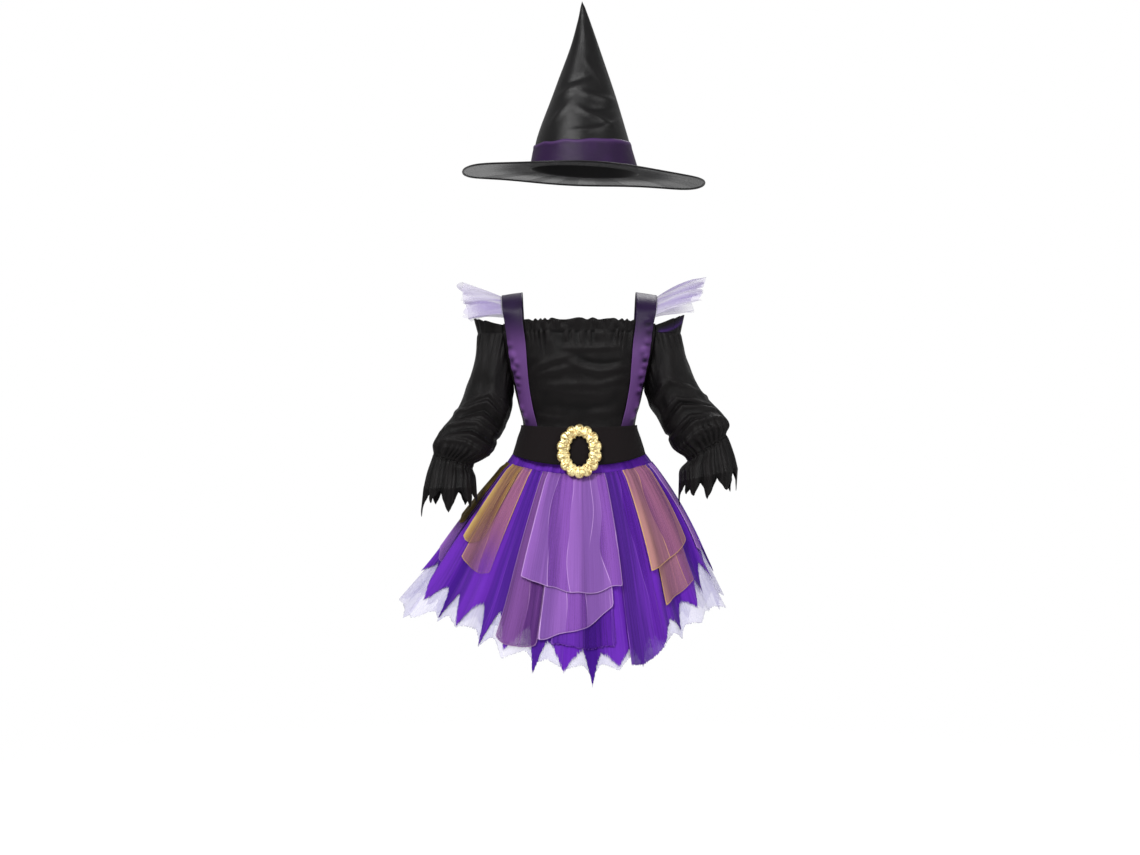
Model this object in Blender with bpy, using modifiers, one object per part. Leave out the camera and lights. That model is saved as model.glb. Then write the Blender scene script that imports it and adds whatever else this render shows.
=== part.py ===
"""Witch costume for a child: an off-shoulder dress with its belt, and a pointed hat, as worn.

Metres, +Z up. The front faces -Y, and the viewer's right is +X. The origin lies between the tops of
the two shoulder straps. Every cloth piece is an open sheet through sections, with a wall on its
outer side. Angles run from the front towards +X.
"""
import math
from collections import namedtuple

import bmesh
import bpy
from mathutils import Vector

# Cloth walls and the gaps between pieces
WALL = 0.0012
SKIRT_WALL = 0.0010
BELT_WALL = 0.0024
GAP = 0.0003
SEAM = 0.0008

# Torso: half sizes of the bodice at each height, on a squared ellipse
SQUARENESS = 2.6
Torso = namedtuple("Torso", "z half_width half_depth")
TORSO = (
    Torso(-0.300, 0.1140, 0.0880),
    Torso(-0.262, 0.1045, 0.0810),
    Torso(-0.238, 0.0972, 0.0757),
    Torso(-0.215, 0.0910, 0.0710),
    Torso(-0.175, 0.1005, 0.0750),
    Torso(-0.150, 0.1070, 0.0780),
    Torso(-0.110, 0.1230, 0.0800),
    Torso(-0.066, 0.1340, 0.0780),
    Torso(-0.030, 0.1330, 0.0775),
)
WAIST_SIDE_Z = -0.262
WAIST_FRONT_Z = -0.279
NECK_Z = -0.064
UNDERARM_Z = -0.156
ARMHOLE_ANGLE = math.radians(27)
BODICE_COLUMNS = 20
BODICE_HEIGHTS = (0.22, 0.42, 0.62, 0.82, 1.0)
FRILL_HEIGHT = 0.021
FRILL_DIP = 0.009
FRILL_WAVE = 0.0016
FRILL_WAVE_END = 0.60

# Straps, from the belt over the shoulder; the rows above the neck leave the torso
STRAP_OUT = 0.0026
STRAP_OVER_FRILL = 0.0046
STRAP_ACROSS = (-1.0, -0.33, 0.33, 1.0)
Strap = namedtuple("Strap", "z centre half_width out")
STRAP_ON_TORSO = (
    Strap(-0.2148, 0.0775, 0.0140, STRAP_OUT),
    Strap(-0.1850, 0.0850, 0.0150, STRAP_OUT),
    Strap(-0.1500, 0.0925, 0.0160, STRAP_OUT),
    Strap(-0.1150, 0.0980, 0.0165, STRAP_OUT),
    Strap(-0.0850, 0.1010, 0.0165, 0.0034),
    Strap(-0.0500, 0.1050, 0.0165, STRAP_OVER_FRILL),
)
Shoulder = namedtuple("Shoulder", "z centre half_width y outer_back outer_drop")
STRAP_ON_SHOULDER = (
    Shoulder(-0.0270, 0.1085, 0.0160, 0.0570, 0.0130, 0.0040),
    Shoulder(-0.0090, 0.1095, 0.0166, 0.0350, 0.0060, 0.0050),
    Shoulder(0.0000, 0.1100, 0.0170, 0.0000, 0.0000, 0.0050),
)

# Net frills on the outer edges of the straps
NET_COLUMNS = 16
NET_ROWS = 3
NET_WAVES = 3
NET_WAVE_HEIGHT = 0.009
NET_ROOT_LENGTH = 0.056
NET_ROOT_Z = -0.004
NET_ROOT_DROP = 0.032
NET_ROOT_LEAN = 0.0025
NET_EDGE_LEAN = 0.012
Net = namedtuple("Net", "reach top_z end_z front_back")
NETS = {
    "left": Net(0.1930, 0.0090, -0.0500, 0.078),
    "right": Net(0.2020, 0.0220, -0.0260, 0.078),
}

# Sleeves: rings across the arm, from below the armhole down to the elbow gather
SLEEVE_COLUMNS = 18
SLEEVE_TOP_OUT = 0.166
GATHER_BAND = 0.005
Ring = namedtuple("Ring", "outer_x outer_z inner_x inner_z depth y wave")
SLEEVES = {
    "left": (
        Ring(0.1700, -0.1010, 0.1100, -0.1690, 0.054, 0.000, 0.00),
        Ring(0.1810, -0.1430, 0.1120, -0.1880, 0.052, -0.004, 0.01),
        Ring(0.1960, -0.1860, 0.1180, -0.2070, 0.050, -0.012, 0.02),
        Ring(0.2240, -0.2230, 0.1320, -0.2370, 0.048, -0.024, 0.03),
        Ring(0.2370, -0.2460, 0.1460, -0.2620, 0.043, -0.034, 0.05),
        Ring(0.2350, -0.2590, 0.1720, -0.2760, 0.030, -0.040, 0.06),
    ),
    "right": (
        Ring(0.1740, -0.0980, 0.1110, -0.1670, 0.054, 0.000, 0.00),
        Ring(0.1900, -0.1420, 0.1180, -0.1850, 0.052, -0.004, 0.01),
        Ring(0.2120, -0.1740, 0.1300, -0.2050, 0.050, -0.012, 0.02),
        Ring(0.2350, -0.1990, 0.1430, -0.2310, 0.048, -0.022, 0.03),
        Ring(0.2430, -0.2150, 0.1530, -0.2520, 0.043, -0.030, 0.05),
        Ring(0.2370, -0.2290, 0.1730, -0.2650, 0.030, -0.036, 0.06),
    ),
}

# Pointed cuff frills below the gather: the last ring holds the valleys between the points
CUFF_COLUMNS = 16
CUFFS = {
    "left": (
        Ring(0.2450, -0.2930, 0.1700, -0.2980, 0.034, -0.046, 0.07),
        Ring(0.2500, -0.3180, 0.1690, -0.3150, 0.037, -0.050, 0.09),
    ),
    "right": (
        Ring(0.2510, -0.2620, 0.1660, -0.2890, 0.034, -0.040, 0.07),
        Ring(0.2560, -0.2860, 0.1650, -0.3060, 0.037, -0.044, 0.09),
    ),
}
CUFF_POINTS = (0.040, 0.031, 0.036, 0.028, 0.034, 0.030, 0.038, 0.026)
CUFF_VALLEY = 0.004
CUFF_GATHER_WAVE = 0.04

# Neck frill on the top of each sleeve
SLEEVE_FRILL_COLUMNS = 14
SLEEVE_FRILL_FLARE = 0.004
SLEEVE_FRILL_WAVE = 0.0022
SLEEVE_FRILL_RISE = {"left": 0.002, "right": 0.008}

# Belt, over the waist seam, its top edge just under the straps' ends
BELT_COLUMNS = 40
BELT_OUT = 0.0021
BELT_TOP_SIDE_Z = -0.215
BELT_TOP_FRONT_Z = -0.219

# Buckle: an oval ring with a scalloped outer edge, tilted with the belt
BUCKLE_Z = -0.2570
BUCKLE_TILT = math.radians(14)
BUCKLE_OUTER = (0.0345, 0.0425)
BUCKLE_INNER = (0.0160, 0.0250)
BUCKLE_LOBES = 14
BUCKLE_LOBE_HEIGHT = 0.0022
BUCKLE_THICKNESS = 0.0070
BUCKLE_STEPS = 56
BUCKLE_CLEAR = 0.0012
BUCKLE_SHOULDER = 0.2
BUCKLE_DOME = 0.25

# Skirt: one shared form, by reach down the cloth from the waistband to the hem
COLUMNS = 72
COLUMN_ANGLE = 2 * math.pi / COLUMNS
SIDE_COLUMN = COLUMNS // 4
SkirtRow = namedtuple("SkirtRow", "reach left right front back side_z front_z")
SKIRT = (
    SkirtRow(-0.10, 0.1030, 0.1030, 0.0805, 0.0805, -0.256, -0.272),
    SkirtRow(0.00, 0.1180, 0.1190, 0.0860, 0.0870, -0.278, -0.296),
    SkirtRow(0.25, 0.1610, 0.1560, 0.1080, 0.1150, -0.333, -0.373),
    SkirtRow(0.50, 0.2010, 0.1850, 0.1340, 0.1460, -0.388, -0.451),
    SkirtRow(0.75, 0.2390, 0.2080, 0.1560, 0.1720, -0.443, -0.530),
    SkirtRow(1.00, 0.2830, 0.2340, 0.1740, 0.1920, -0.498, -0.609),
    SkirtRow(1.15, 0.3110, 0.2500, 0.1840, 0.2020, -0.531, -0.656),
)
WAISTBAND_TOP = -0.066
WAISTBAND_FOOT = -0.004
ROWS_DOWN = (0.0, 0.25, 0.60)
FOLD_AT_WAIST = 0.0014
FOLD_AT_HEM = 0.0095
FOLD_COLUMNS = 4
FOLD_SHAPE = (1.0, 0.0, -1.0, 0.0)
FOLD_MEAN = 0.80
FOLD_SPREAD = 0.20
FOLD_TURN = 2.4
PITCH_AT_WAIST = 0.0016
PITCH_AT_HEM = 0.0030
PITCH_FULL_REACH = 0.45
POINT_DEPTH = 0.17
PETTICOAT_POINT_DEPTH = POINT_DEPTH / 3
HEM_ROW = 0.03
SKIRT_HEM_UNEVEN = 0.03
SKIRT_HEM_TURN = 1.7
PETTICOAT_HEM_UNEVEN = 0.025
PETTICOAT_HEM_TURN = 2.3
PANEL_ROW = 0.015
NORMAL_STEP = 0.01

# Hem: how far the points of the violet skirt and of the petticoat reach, by angle in degrees
Hem = namedtuple("Hem", "angle skirt petticoat")
HEM = (
    Hem(-180, 0.98, 1.00),
    Hem(-130, 0.95, 1.00),
    Hem(-92, 0.86, 1.03),
    Hem(-75, 0.90, 1.10),
    Hem(-60, 0.96, 1.00),
    Hem(-30, 0.97, 0.97),
    Hem(0, 1.03, 1.00),
    Hem(30, 1.00, 0.98),
    Hem(55, 0.92, 1.00),
    Hem(80, 0.86, 1.06),
    Hem(95, 0.85, 1.02),
    Hem(130, 0.95, 1.00),
    Hem(180, 0.98, 1.00),
)

# Overlay panels: columns they span, layer, and how far each edge and the middle reach
Panel = namedtuple("Panel", "name first last layer start end_first end_middle end_last finish")
PANELS = (
    Panel("panel_lilac_front", -5, 4, 4, 0.05, 0.56, 0.60, 0.59, "lilac"),
    Panel("panel_lilac_lower", -3, 3, 3, 0.05, 0.84, 0.78, 0.68, "lilac"),
    Panel("panel_mauve_front", -6, -3, 2, 0.03, 0.89, 0.91, 0.88, "mauve"),
    Panel("panel_violet_front", -2, 3, 2, 0.05, 0.86, 0.87, 0.88, "violet"),
    Panel("panel_violet_right", 4, 7, 2, 0.02, 1.00, 1.01, 0.97, "violet"),
    Panel("panel_copper_lower", 8, 12, 2, 0.02, 0.78, 0.77, 0.75, "copper"),
    Panel("panel_copper_upper", 7, 13, 3, 0.02, 0.58, 0.56, 0.52, "copper"),
    Panel("panel_lilac_right", 14, 17, 2, 0.02, 0.60, 0.63, 0.58, "lilac"),
    Panel("panel_copper_left", -12, -8, 2, 0.02, 0.60, 0.63, 0.60, "copper"),
    Panel("panel_gold_left", -13, -10, 3, 0.02, 0.50, 0.52, 0.48, "gold"),
    Panel("panel_lilac_left", -17, -14, 2, 0.02, 0.64, 0.70, 0.70, "lilac"),
    Panel("panel_olive_left", -17, -15, 3, 0.02, 0.40, 0.44, 0.42, "olive"),
    Panel("panel_copper_back_right", 20, 25, 2, 0.02, 0.66, 0.70, 0.62, "copper"),
    Panel("panel_mauve_back", 27, 31, 2, 0.02, 0.80, 0.84, 0.80, "mauve"),
    Panel("panel_violet_back", 33, 39, 2, 0.02, 0.86, 0.90, 0.86, "violet"),
    Panel("panel_lilac_back", 32, 41, 3, 0.02, 0.58, 0.62, 0.57, "lilac"),
    Panel("panel_gold_back", 43, 47, 2, 0.02, 0.56, 0.60, 0.54, "gold"),
    Panel("panel_lilac_back_left", 49, 53, 2, 0.02, 0.76, 0.80, 0.74, "lilac"),
)

# Hat: rings of the cone, and the brim
HAT_COLUMNS = 24
HAT_ROLL = 0.050
HatRow = namedtuple("HatRow", "z centre radius")
HAT = (
    HatRow(0.203, 0.0090, 0.0880),
    HatRow(0.259, 0.0065, 0.0735),
    HatRow(0.333, 0.0090, 0.0490),
    HatRow(0.404, 0.0105, 0.0225),
    HatRow(0.450, 0.0080, 0.0084),
    HatRow(0.473, 0.0060, 0.0026),
)
HAT_HEIGHTS = (0.203, 0.225, 0.259, 0.300, 0.350, 0.404, 0.445, 0.473)
HAT_TIP = (0.0050, 0.0, 0.4820)
BAND_FOOT = 0.206
BAND_HEIGHT = 0.040
BAND_SKEW = 0.006
BAND_WAVE = 0.002
BRIM_COLUMNS = 48
BRIM_RADII = (0.199, 0.165, 0.125, 0.0905)
BRIM_Z = 0.202
BRIM_CENTRE_X = 0.0075
BRIM_DROOP = 0.011
BRIM_FRONT_DROOP = 0.008
BRIM_WAVE = 0.0016
BRIM_WAVES = 5
BRIM_TURN = 1.0
BRIM_WALL = 0.0014

Finish = namedtuple("Finish", "colour roughness metallic")
FINISHES = {
    "satin": Finish((0.012, 0.011, 0.013), 0.35, 0.0),
    "band": Finish((0.030, 0.008, 0.060), 0.30, 0.0),
    "brim": Finish((0.020, 0.020, 0.024), 0.50, 0.0),
    "jersey": Finish((0.010, 0.008, 0.009), 0.80, 0.0),
    "strap": Finish((0.080, 0.030, 0.150), 0.30, 0.0),
    "elastic": Finish((0.012, 0.008, 0.009), 0.85, 0.0),
    "brass": Finish((0.780, 0.560, 0.180), 0.35, 0.9),
    "violet": Finish((0.110, 0.020, 0.420), 0.60, 0.0),
    "lilac": Finish((0.330, 0.140, 0.580), 0.60, 0.0),
    "mauve": Finish((0.230, 0.090, 0.330), 0.60, 0.0),
    "copper": Finish((0.420, 0.180, 0.200), 0.60, 0.0),
    "gold": Finish((0.480, 0.290, 0.070), 0.60, 0.0),
    "olive": Finish((0.160, 0.130, 0.010), 0.60, 0.0),
    "net": Finish((0.750, 0.720, 0.900), 0.60, 0.0),
}


def read_table(rows, at):
    """Return the row at a place along a table's first column, on a smooth curve through its rows."""
    i = min(max(sum(row[0] <= at for row in rows) - 1, 0), len(rows) - 2)
    here, there = rows[i], rows[i + 1]
    before, after = rows[max(i - 1, 0)], rows[min(i + 2, len(rows) - 1)]
    span = there[0] - here[0]
    part = (at - here[0]) / span
    ease = part * part * (3 - 2 * part)
    values = []
    for k in range(len(here)):
        leave = (there[k] - before[k]) / (there[0] - before[0]) * span
        arrive = (after[k] - here[k]) / (after[0] - here[0]) * span
        bend = leave * part * (1 - part) ** 2 - arrive * part * part * (1 - part)
        values.append(here[k] * (1 - ease) + there[k] * ease + bend)
    return type(here)(*values)


def signed_power(value, power):
    """Raise the size of a value to a power and keep its sign."""
    return math.copysign(abs(value) ** power, value)


def alternate(index):
    """Return 1 for an even index and -1 for an odd one."""
    return 1 - 2 * (index % 2)


def mirrored(rows):
    """Turn a +X piece into its -X twin; the columns are reversed, so the wall stays outside."""
    return [[(-x, y, z) for x, y, z in reversed(row)] for row in rows]


def for_side(side, rows):
    """Keep a piece on the viewer's right, or mirror it to the left."""
    return mirrored(rows) if side == "left" else rows


def finish_material(key):
    """Make a piece's own material from the table of finishes."""
    finish = FINISHES[key]
    material = bpy.data.materials.new(key)
    material.use_nodes = True
    shader = material.node_tree.nodes["Principled BSDF"]
    shader.inputs["Base Color"].default_value = (*finish.colour, 1.0)
    shader.inputs["Roughness"].default_value = finish.roughness
    shader.inputs["Metallic"].default_value = finish.metallic
    return material


def add_object(name, mesh, finish):
    """Put a mesh into the costume's collection with its own material."""
    piece = bpy.data.objects.new(name, mesh)
    mesh.materials.append(finish_material(finish))
    mesh.shade_smooth()
    bpy.data.collections["witch_costume"].objects.link(piece)
    return piece


def add_sheet(name, rows, wall, finish, closed=False, tip=None):
    """Join rows of points into one cloth sheet and give it a wall on its outer side.

    Rows run upwards and columns anticlockwise seen from above, so faces point outwards. A closed
    sheet is a tube, and a tip closes its top.
    """
    mesh = bpy.data.meshes.new(name)
    bm = bmesh.new()
    grid = [[bm.verts.new(point) for point in row] for row in rows]
    count = len(grid[0])
    steps = count if closed else count - 1
    for low, high in zip(grid, grid[1:]):
        for i in range(steps):
            j = (i + 1) % count
            bm.faces.new((low[i], low[j], high[j], high[i]))
    if tip:
        point = bm.verts.new(tip)
        for i in range(steps):
            bm.faces.new((grid[-1][i], grid[-1][(i + 1) % count], point))
    bm.to_mesh(mesh)
    bm.free()
    piece = add_object(name, mesh, finish)
    solid = piece.modifiers.new("wall", "SOLIDIFY")
    solid.thickness = wall
    solid.offset = 1.0
    solid.use_even_offset = True
    return piece


def waist_z(angle):
    """Return the height of the waist seam, which dips at the front and the back."""
    return WAIST_FRONT_Z + (WAIST_SIDE_Z - WAIST_FRONT_Z) * math.sin(angle) ** 2


def torso_point(angle, z, out=0.0):
    """Return a point on the torso form, moved out by a distance."""
    size = read_table(TORSO, z)
    power = 2 / SQUARENESS
    side = signed_power(math.sin(angle), power)
    front = signed_power(math.cos(angle), power)
    normal = Vector((signed_power(side, SQUARENESS - 1) / size.half_width,
                     -signed_power(front, SQUARENESS - 1) / size.half_depth, 0.0)).normalized()
    point = Vector((side * size.half_width, -front * size.half_depth, z)) + normal * out
    return tuple(point)


def angle_across(x, z):
    """Return the torso angle whose point lies x from the middle at a height."""
    share = min(abs(x) / read_table(TORSO, z).half_width, 1.0)
    return math.copysign(math.asin(share ** (SQUARENESS / 2)), x)


def armhole_edge(z):
    """Return the angle of the bodice's side edge at a height; it is cut away above the underarm."""
    down = min(max((NECK_Z - z) / (NECK_Z - UNDERARM_Z), 0.0), 1.0)
    return math.pi / 2 - ARMHOLE_ANGLE * math.sqrt(1 - down * down)


def belt_top_z(angle):
    """Return the height of the belt's top edge."""
    return BELT_TOP_FRONT_Z + (BELT_TOP_SIDE_Z - BELT_TOP_FRONT_Z) * math.sin(angle) ** 2


def bodice_column(across):
    """Return the heights of one column of the bodice: three under the belt, then up to the neck."""
    foot, top = waist_z(across * math.pi / 2), belt_top_z(across * math.pi / 2)
    return [foot, (foot + top) / 2, top] + [top + (NECK_Z - top) * height for height in BODICE_HEIGHTS]


def build_bodice():
    """Make the front and back of the bodice, each with its gathered frill above the neck elastic."""
    inset = GAP / TORSO[0].half_width
    places = [2 * i / BODICE_COLUMNS - 1 for i in range(BODICE_COLUMNS + 1)]
    for name, turn in (("bodice_front", 0.0), ("bodice_back", math.pi)):
        columns = []
        for across in places:
            heights = bodice_column(across)
            columns.append([torso_point(across * (armhole_edge(z) - inset) + turn, z) for z in heights])
        rows = [list(row) for row in zip(*columns)]
        for lift in (0.5, 1.0):
            row = []
            for i, across in enumerate(places):
                z = NECK_Z + lift * (FRILL_HEIGHT - FRILL_DIP * across * across)
                angle = across * (armhole_edge(NECK_Z) - inset)
                fade = max(0.0, 1 - (across / FRILL_WAVE_END) ** 4)
                wave = FRILL_WAVE * lift * (1 + alternate(i)) * fade
                row.append(torso_point(angle + turn, z, wave))
            rows.append(row)
        add_sheet(name, rows, WALL, "jersey")


def strap_row(row, facing):
    """Return the points across a strap where it lies on the torso, front or back."""
    middle = angle_across(row.centre, row.z)
    step = math.radians(1)
    ahead, behind = torso_point(middle + step, row.z), torso_point(middle - step, row.z)
    rate = math.dist(ahead, behind) / (2 * step)
    points = []
    for across in STRAP_ACROSS:
        x, y, z = torso_point(middle + across * row.half_width / rate, row.z, row.out)
        points.append((x, y * facing, z))
    return points


def shoulder_row(row, facing):
    """Return the points across a strap where it bridges the shoulder."""
    points = []
    for across in STRAP_ACROSS:
        x = row.centre + across * row.half_width
        y = -(row.y - across * row.outer_back / 2) * facing
        points.append((x, y, row.z - across * row.outer_drop / 2))
    return points


def build_straps():
    """Make the two straps, each from the belt's front over the shoulder to the belt's back."""
    front = [strap_row(row, 1) for row in STRAP_ON_TORSO]
    front += [shoulder_row(row, 1) for row in STRAP_ON_SHOULDER]
    back = [strap_row(row, -1) for row in STRAP_ON_TORSO]
    back += [shoulder_row(row, -1) for row in STRAP_ON_SHOULDER[:-1]]
    rows = front + back[::-1]
    for side in ("left", "right"):
        add_sheet(f"strap_{side}", for_side(side, rows), WALL, "strap")


def build_nets():
    """Make the net frill that fans out from each strap over the shoulder."""
    root = STRAP_ON_SHOULDER[-1]
    root_x = root.centre + root.half_width + SEAM
    for side, net in NETS.items():
        rows = []
        for step in range(NET_ROWS, -1, -1):
            out = step / NET_ROWS
            row = []
            for i in range(NET_COLUMNS + 1):
                along = 2 * i / NET_COLUMNS - 1
                square = along * along
                inner = Vector((root_x - NET_ROOT_LEAN * square, NET_ROOT_LENGTH * along,
                                NET_ROOT_Z - NET_ROOT_DROP * square))
                edge_z = net.top_z + (net.end_z - net.top_z) * square
                outer = Vector((net.reach - NET_EDGE_LEAN * square, net.front_back * along, edge_z))
                wave = NET_WAVE_HEIGHT * math.cos(2 * math.pi * NET_WAVES * along) * out
                row.append(tuple(inner.lerp(outer, out) + Vector((0.0, 0.0, wave))))
            rows.append(row)
        add_sheet(f"shoulder_net_{side}", for_side(side, rows), SKIRT_WALL, "net")


def ring_points(ring, columns):
    """Return the points of one ring round the arm, from the outside backwards."""
    points = []
    for i in range(columns):
        turn = 2 * math.pi * i / columns
        swell = 1 + ring.wave * alternate(i)
        out = math.cos(turn) * swell
        x = (ring.outer_x + ring.inner_x) / 2 + (ring.outer_x - ring.inner_x) / 2 * out
        z = (ring.outer_z + ring.inner_z) / 2 + (ring.outer_z - ring.inner_z) / 2 * out
        points.append((x, ring.y + ring.depth * math.sin(turn) * swell, z))
    return points


def armhole_points(columns):
    """Return the sleeve's top ring: the neck edge on its outer half, the armhole on its inner."""
    corner_x, corner_y, _ = torso_point(armhole_edge(NECK_Z), NECK_Z)
    corner_x += WALL + GAP
    points = []
    for i in range(columns):
        turn = 2 * math.pi * i / columns
        out = math.cos(turn)
        if out >= 0:
            x = corner_x + (SLEEVE_TOP_OUT - corner_x) * out
            points.append((x, -corner_y * math.sin(turn), NECK_Z))
            continue
        z = NECK_Z + (UNDERARM_Z - NECK_Z) * -out
        x, y, _ = torso_point(armhole_edge(z), z)
        side = math.copysign(1.0, math.sin(turn)) if abs(math.sin(turn)) > 1e-6 else 0.0
        points.append((x + WALL + GAP + WALL * -out, -y * side, z))
    return points


def gather_ring(ring, along):
    """Return a ring moved down the arm from the gather by a distance."""
    tilt = math.atan2(ring.outer_z - ring.inner_z, ring.outer_x - ring.inner_x)
    side, down = along * math.sin(tilt), -along * math.cos(tilt)
    return ring._replace(outer_x=ring.outer_x + side, inner_x=ring.inner_x + side,
                         outer_z=ring.outer_z + down, inner_z=ring.inner_z + down)


def build_sleeves():
    """Make the two puffed sleeves, from the armhole and neck edge down to the elbow gather."""
    for side, rings in SLEEVES.items():
        rows = [ring_points(gather_ring(rings[-1], GATHER_BAND), SLEEVE_COLUMNS)]
        rows += [ring_points(ring, SLEEVE_COLUMNS) for ring in reversed(rings)]
        rows.append(armhole_points(SLEEVE_COLUMNS))
        add_sheet(f"sleeve_{side}", for_side(side, rows), WALL, "jersey", closed=True)


def build_cuffs():
    """Make the pointed frill below each gather."""
    for side, rings in CUFFS.items():
        gather = SLEEVES[side][-1]._replace(wave=CUFF_GATHER_WAVE)
        top = gather_ring(gather, GATHER_BAND + SEAM)
        foot = gather_ring(gather, 2 * GATHER_BAND + SEAM)
        valley = ring_points(rings[-1], CUFF_COLUMNS)
        hem = []
        for i, (x, y, z) in enumerate(valley):
            reach = CUFF_POINTS[i // 2] if i % 2 == 0 else CUFF_VALLEY
            hem.append((x, y, z - reach))
        rows = [hem, valley]
        rows += [ring_points(ring, CUFF_COLUMNS) for ring in (*reversed(rings[:-1]), foot, top)]
        add_sheet(f"cuff_{side}", for_side(side, rows), WALL, "jersey", closed=True)


def build_sleeve_frills():
    """Make the frill that stands on the neck edge of each sleeve."""
    corner_x, corner_y, _ = torso_point(armhole_edge(NECK_Z), NECK_Z)
    corner_x += WALL + GAP
    for side, rise in SLEEVE_FRILL_RISE.items():
        rows = []
        for lift in (0.0, 0.5, 1.0):
            row = []
            for i in range(SLEEVE_FRILL_COLUMNS + 1):
                turn = math.pi * (i / SLEEVE_FRILL_COLUMNS - 0.5)
                flare = (SLEEVE_FRILL_FLARE + SLEEVE_FRILL_WAVE * alternate(i)) * lift * math.cos(turn)
                x = corner_x + (SLEEVE_TOP_OUT - corner_x + flare) * math.cos(turn)
                y = (-corner_y + flare) * math.sin(turn)
                height = FRILL_HEIGHT - FRILL_DIP + (FRILL_DIP + rise) * math.cos(turn)
                row.append((x, y, NECK_Z + SEAM + lift * height))
            rows.append(row)
        add_sheet(f"neck_frill_{side}", for_side(side, rows), WALL, "jersey")


def build_belt():
    """Make the wide elastic belt over the waist seam."""
    rows = []
    for height in (0.0, 0.5, 1.0):
        row = []
        for i in range(BELT_COLUMNS):
            angle = 2 * math.pi * i / BELT_COLUMNS
            foot, top = waist_z(angle) + SEAM, belt_top_z(angle)
            row.append(torso_point(angle, foot + (top - foot) * height, BELT_OUT))
        rows.append(row)
    add_sheet("belt", rows, BELT_WALL, "elastic", closed=True)


def build_buckle():
    """Make the oval buckle: a low domed ring with a scalloped outer edge, on the belt's front."""
    mesh = bpy.data.meshes.new("buckle")
    bm = bmesh.new()
    half = BUCKLE_THICKNESS / 2
    shoulder = -half * BUCKLE_SHOULDER
    profile = ((0.0, half), (0.0, shoulder), (BUCKLE_DOME, -half), (1 - BUCKLE_DOME, -half), (1.0, shoulder),
               (1.0, half))
    rings = []
    for i in range(BUCKLE_STEPS):
        turn = 2 * math.pi * i / BUCKLE_STEPS
        lobe = BUCKLE_LOBE_HEIGHT * math.cos(BUCKLE_LOBES * turn)
        ring = []
        for share, depth in profile:
            across = BUCKLE_INNER[0] + (BUCKLE_OUTER[0] - BUCKLE_INNER[0]) * share + lobe * share
            up = BUCKLE_INNER[1] + (BUCKLE_OUTER[1] - BUCKLE_INNER[1]) * share + lobe * share
            ring.append(bm.verts.new((across * math.sin(turn), depth, up * math.cos(turn))))
        rings.append(ring)
    for i in range(BUCKLE_STEPS):
        here, there = rings[i], rings[(i + 1) % BUCKLE_STEPS]
        for j in range(len(profile)):
            k = (j + 1) % len(profile)
            bm.faces.new((here[j], here[k], there[k], there[j]))
    bmesh.ops.recalc_face_normals(bm, faces=bm.faces)
    bm.to_mesh(mesh)
    bm.free()
    buckle = add_object("buckle", mesh, "brass")
    front = torso_point(0.0, BUCKLE_Z, BELT_OUT + BELT_WALL + BUCKLE_CLEAR + half)[1]
    buckle.location = (0.0, front, BUCKLE_Z)
    buckle.rotation_euler = (-BUCKLE_TILT, 0.0, 0.0)
    return buckle


def skirt_core(angle, reach):
    """Return a point of the smooth form that all skirt layers share."""
    row = read_table(SKIRT, reach)
    side, front = math.sin(angle), math.cos(angle)
    half_width = row.right if side > 0 else row.left
    half_depth = row.front if front > 0 else row.back
    z = row.front_z + (row.side_z - row.front_z) * side * side
    return Vector((half_width * side, -half_depth * front, z))


def fold_height(column, reach):
    """Return how far a column's fold stands out; crests and troughs fall on odd columns."""
    fold, phase = divmod(column + 1, FOLD_COLUMNS)
    strength = FOLD_MEAN + FOLD_SPREAD * math.sin(FOLD_TURN * fold)
    return FOLD_SHAPE[phase] * strength * (FOLD_AT_WAIST + (FOLD_AT_HEM - FOLD_AT_WAIST) * max(reach, 0.0))


def layer_out(layer, reach):
    """Return how far a skirt layer lies outside the shared form."""
    share = min(max(reach, 0.0) / PITCH_FULL_REACH, 1.0)
    return layer * (PITCH_AT_WAIST + (PITCH_AT_HEM - PITCH_AT_WAIST) * share)


def skirt_point(column, reach, layer, nudge=0.0):
    """Return a point of a skirt layer, folds and layer height included."""
    angle = column * COLUMN_ANGLE + nudge
    here = skirt_core(angle, reach)
    along = skirt_core(angle + NORMAL_STEP, reach) - here
    down = skirt_core(angle, reach + NORMAL_STEP) - here
    normal = down.cross(along).normalized()
    return tuple(here + normal * (fold_height(column, reach) + layer_out(layer, reach)))


def skirt_half(name, layer, hem_of, finish, point_depth, turn):
    """Make the front or back half of a full skirt layer, with a pointed hem."""
    columns = range(turn - SIDE_COLUMN, turn + SIDE_COLUMN + 1)
    edges = {columns[0]: 1, columns[-1]: -1}
    hems = {column: hem_of(column) for column in columns}
    bands = [{column: hems[column] for column in columns},
             {column: hems[column] - HEM_ROW - (point_depth if column % 2 else 0.0) for column in columns}]
    bands += [{column: reach for column in columns} for reach in reversed(ROWS_DOWN)]
    rows = []
    for band in bands:
        row = []
        for column in columns:
            nudge = edges.get(column, 0) * 2 * GAP / SKIRT[3].left
            row.append(skirt_point(column, band[column], layer, nudge))
        rows.append(row)
    add_sheet(name, rows, SKIRT_WALL, finish)


def hem_row(column):
    """Return the hem table's row for a column."""
    degrees = (column * 360 / COLUMNS + 180) % 360 - 180
    return read_table(HEM, degrees)


def skirt_hem(column):
    """Return how far the violet skirt reaches: points on odd columns, valleys on even ones."""
    uneven = SKIRT_HEM_UNEVEN * math.sin(SKIRT_HEM_TURN * column)
    return hem_row(column).skirt + (uneven if column % 2 else -POINT_DEPTH)


def petticoat_hem(column):
    """Return how far the petticoat reaches, with shorter and less even points."""
    uneven = PETTICOAT_HEM_UNEVEN * math.sin(PETTICOAT_HEM_TURN * column)
    return hem_row(column).petticoat + (uneven if column % 2 else -PETTICOAT_POINT_DEPTH)


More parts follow.
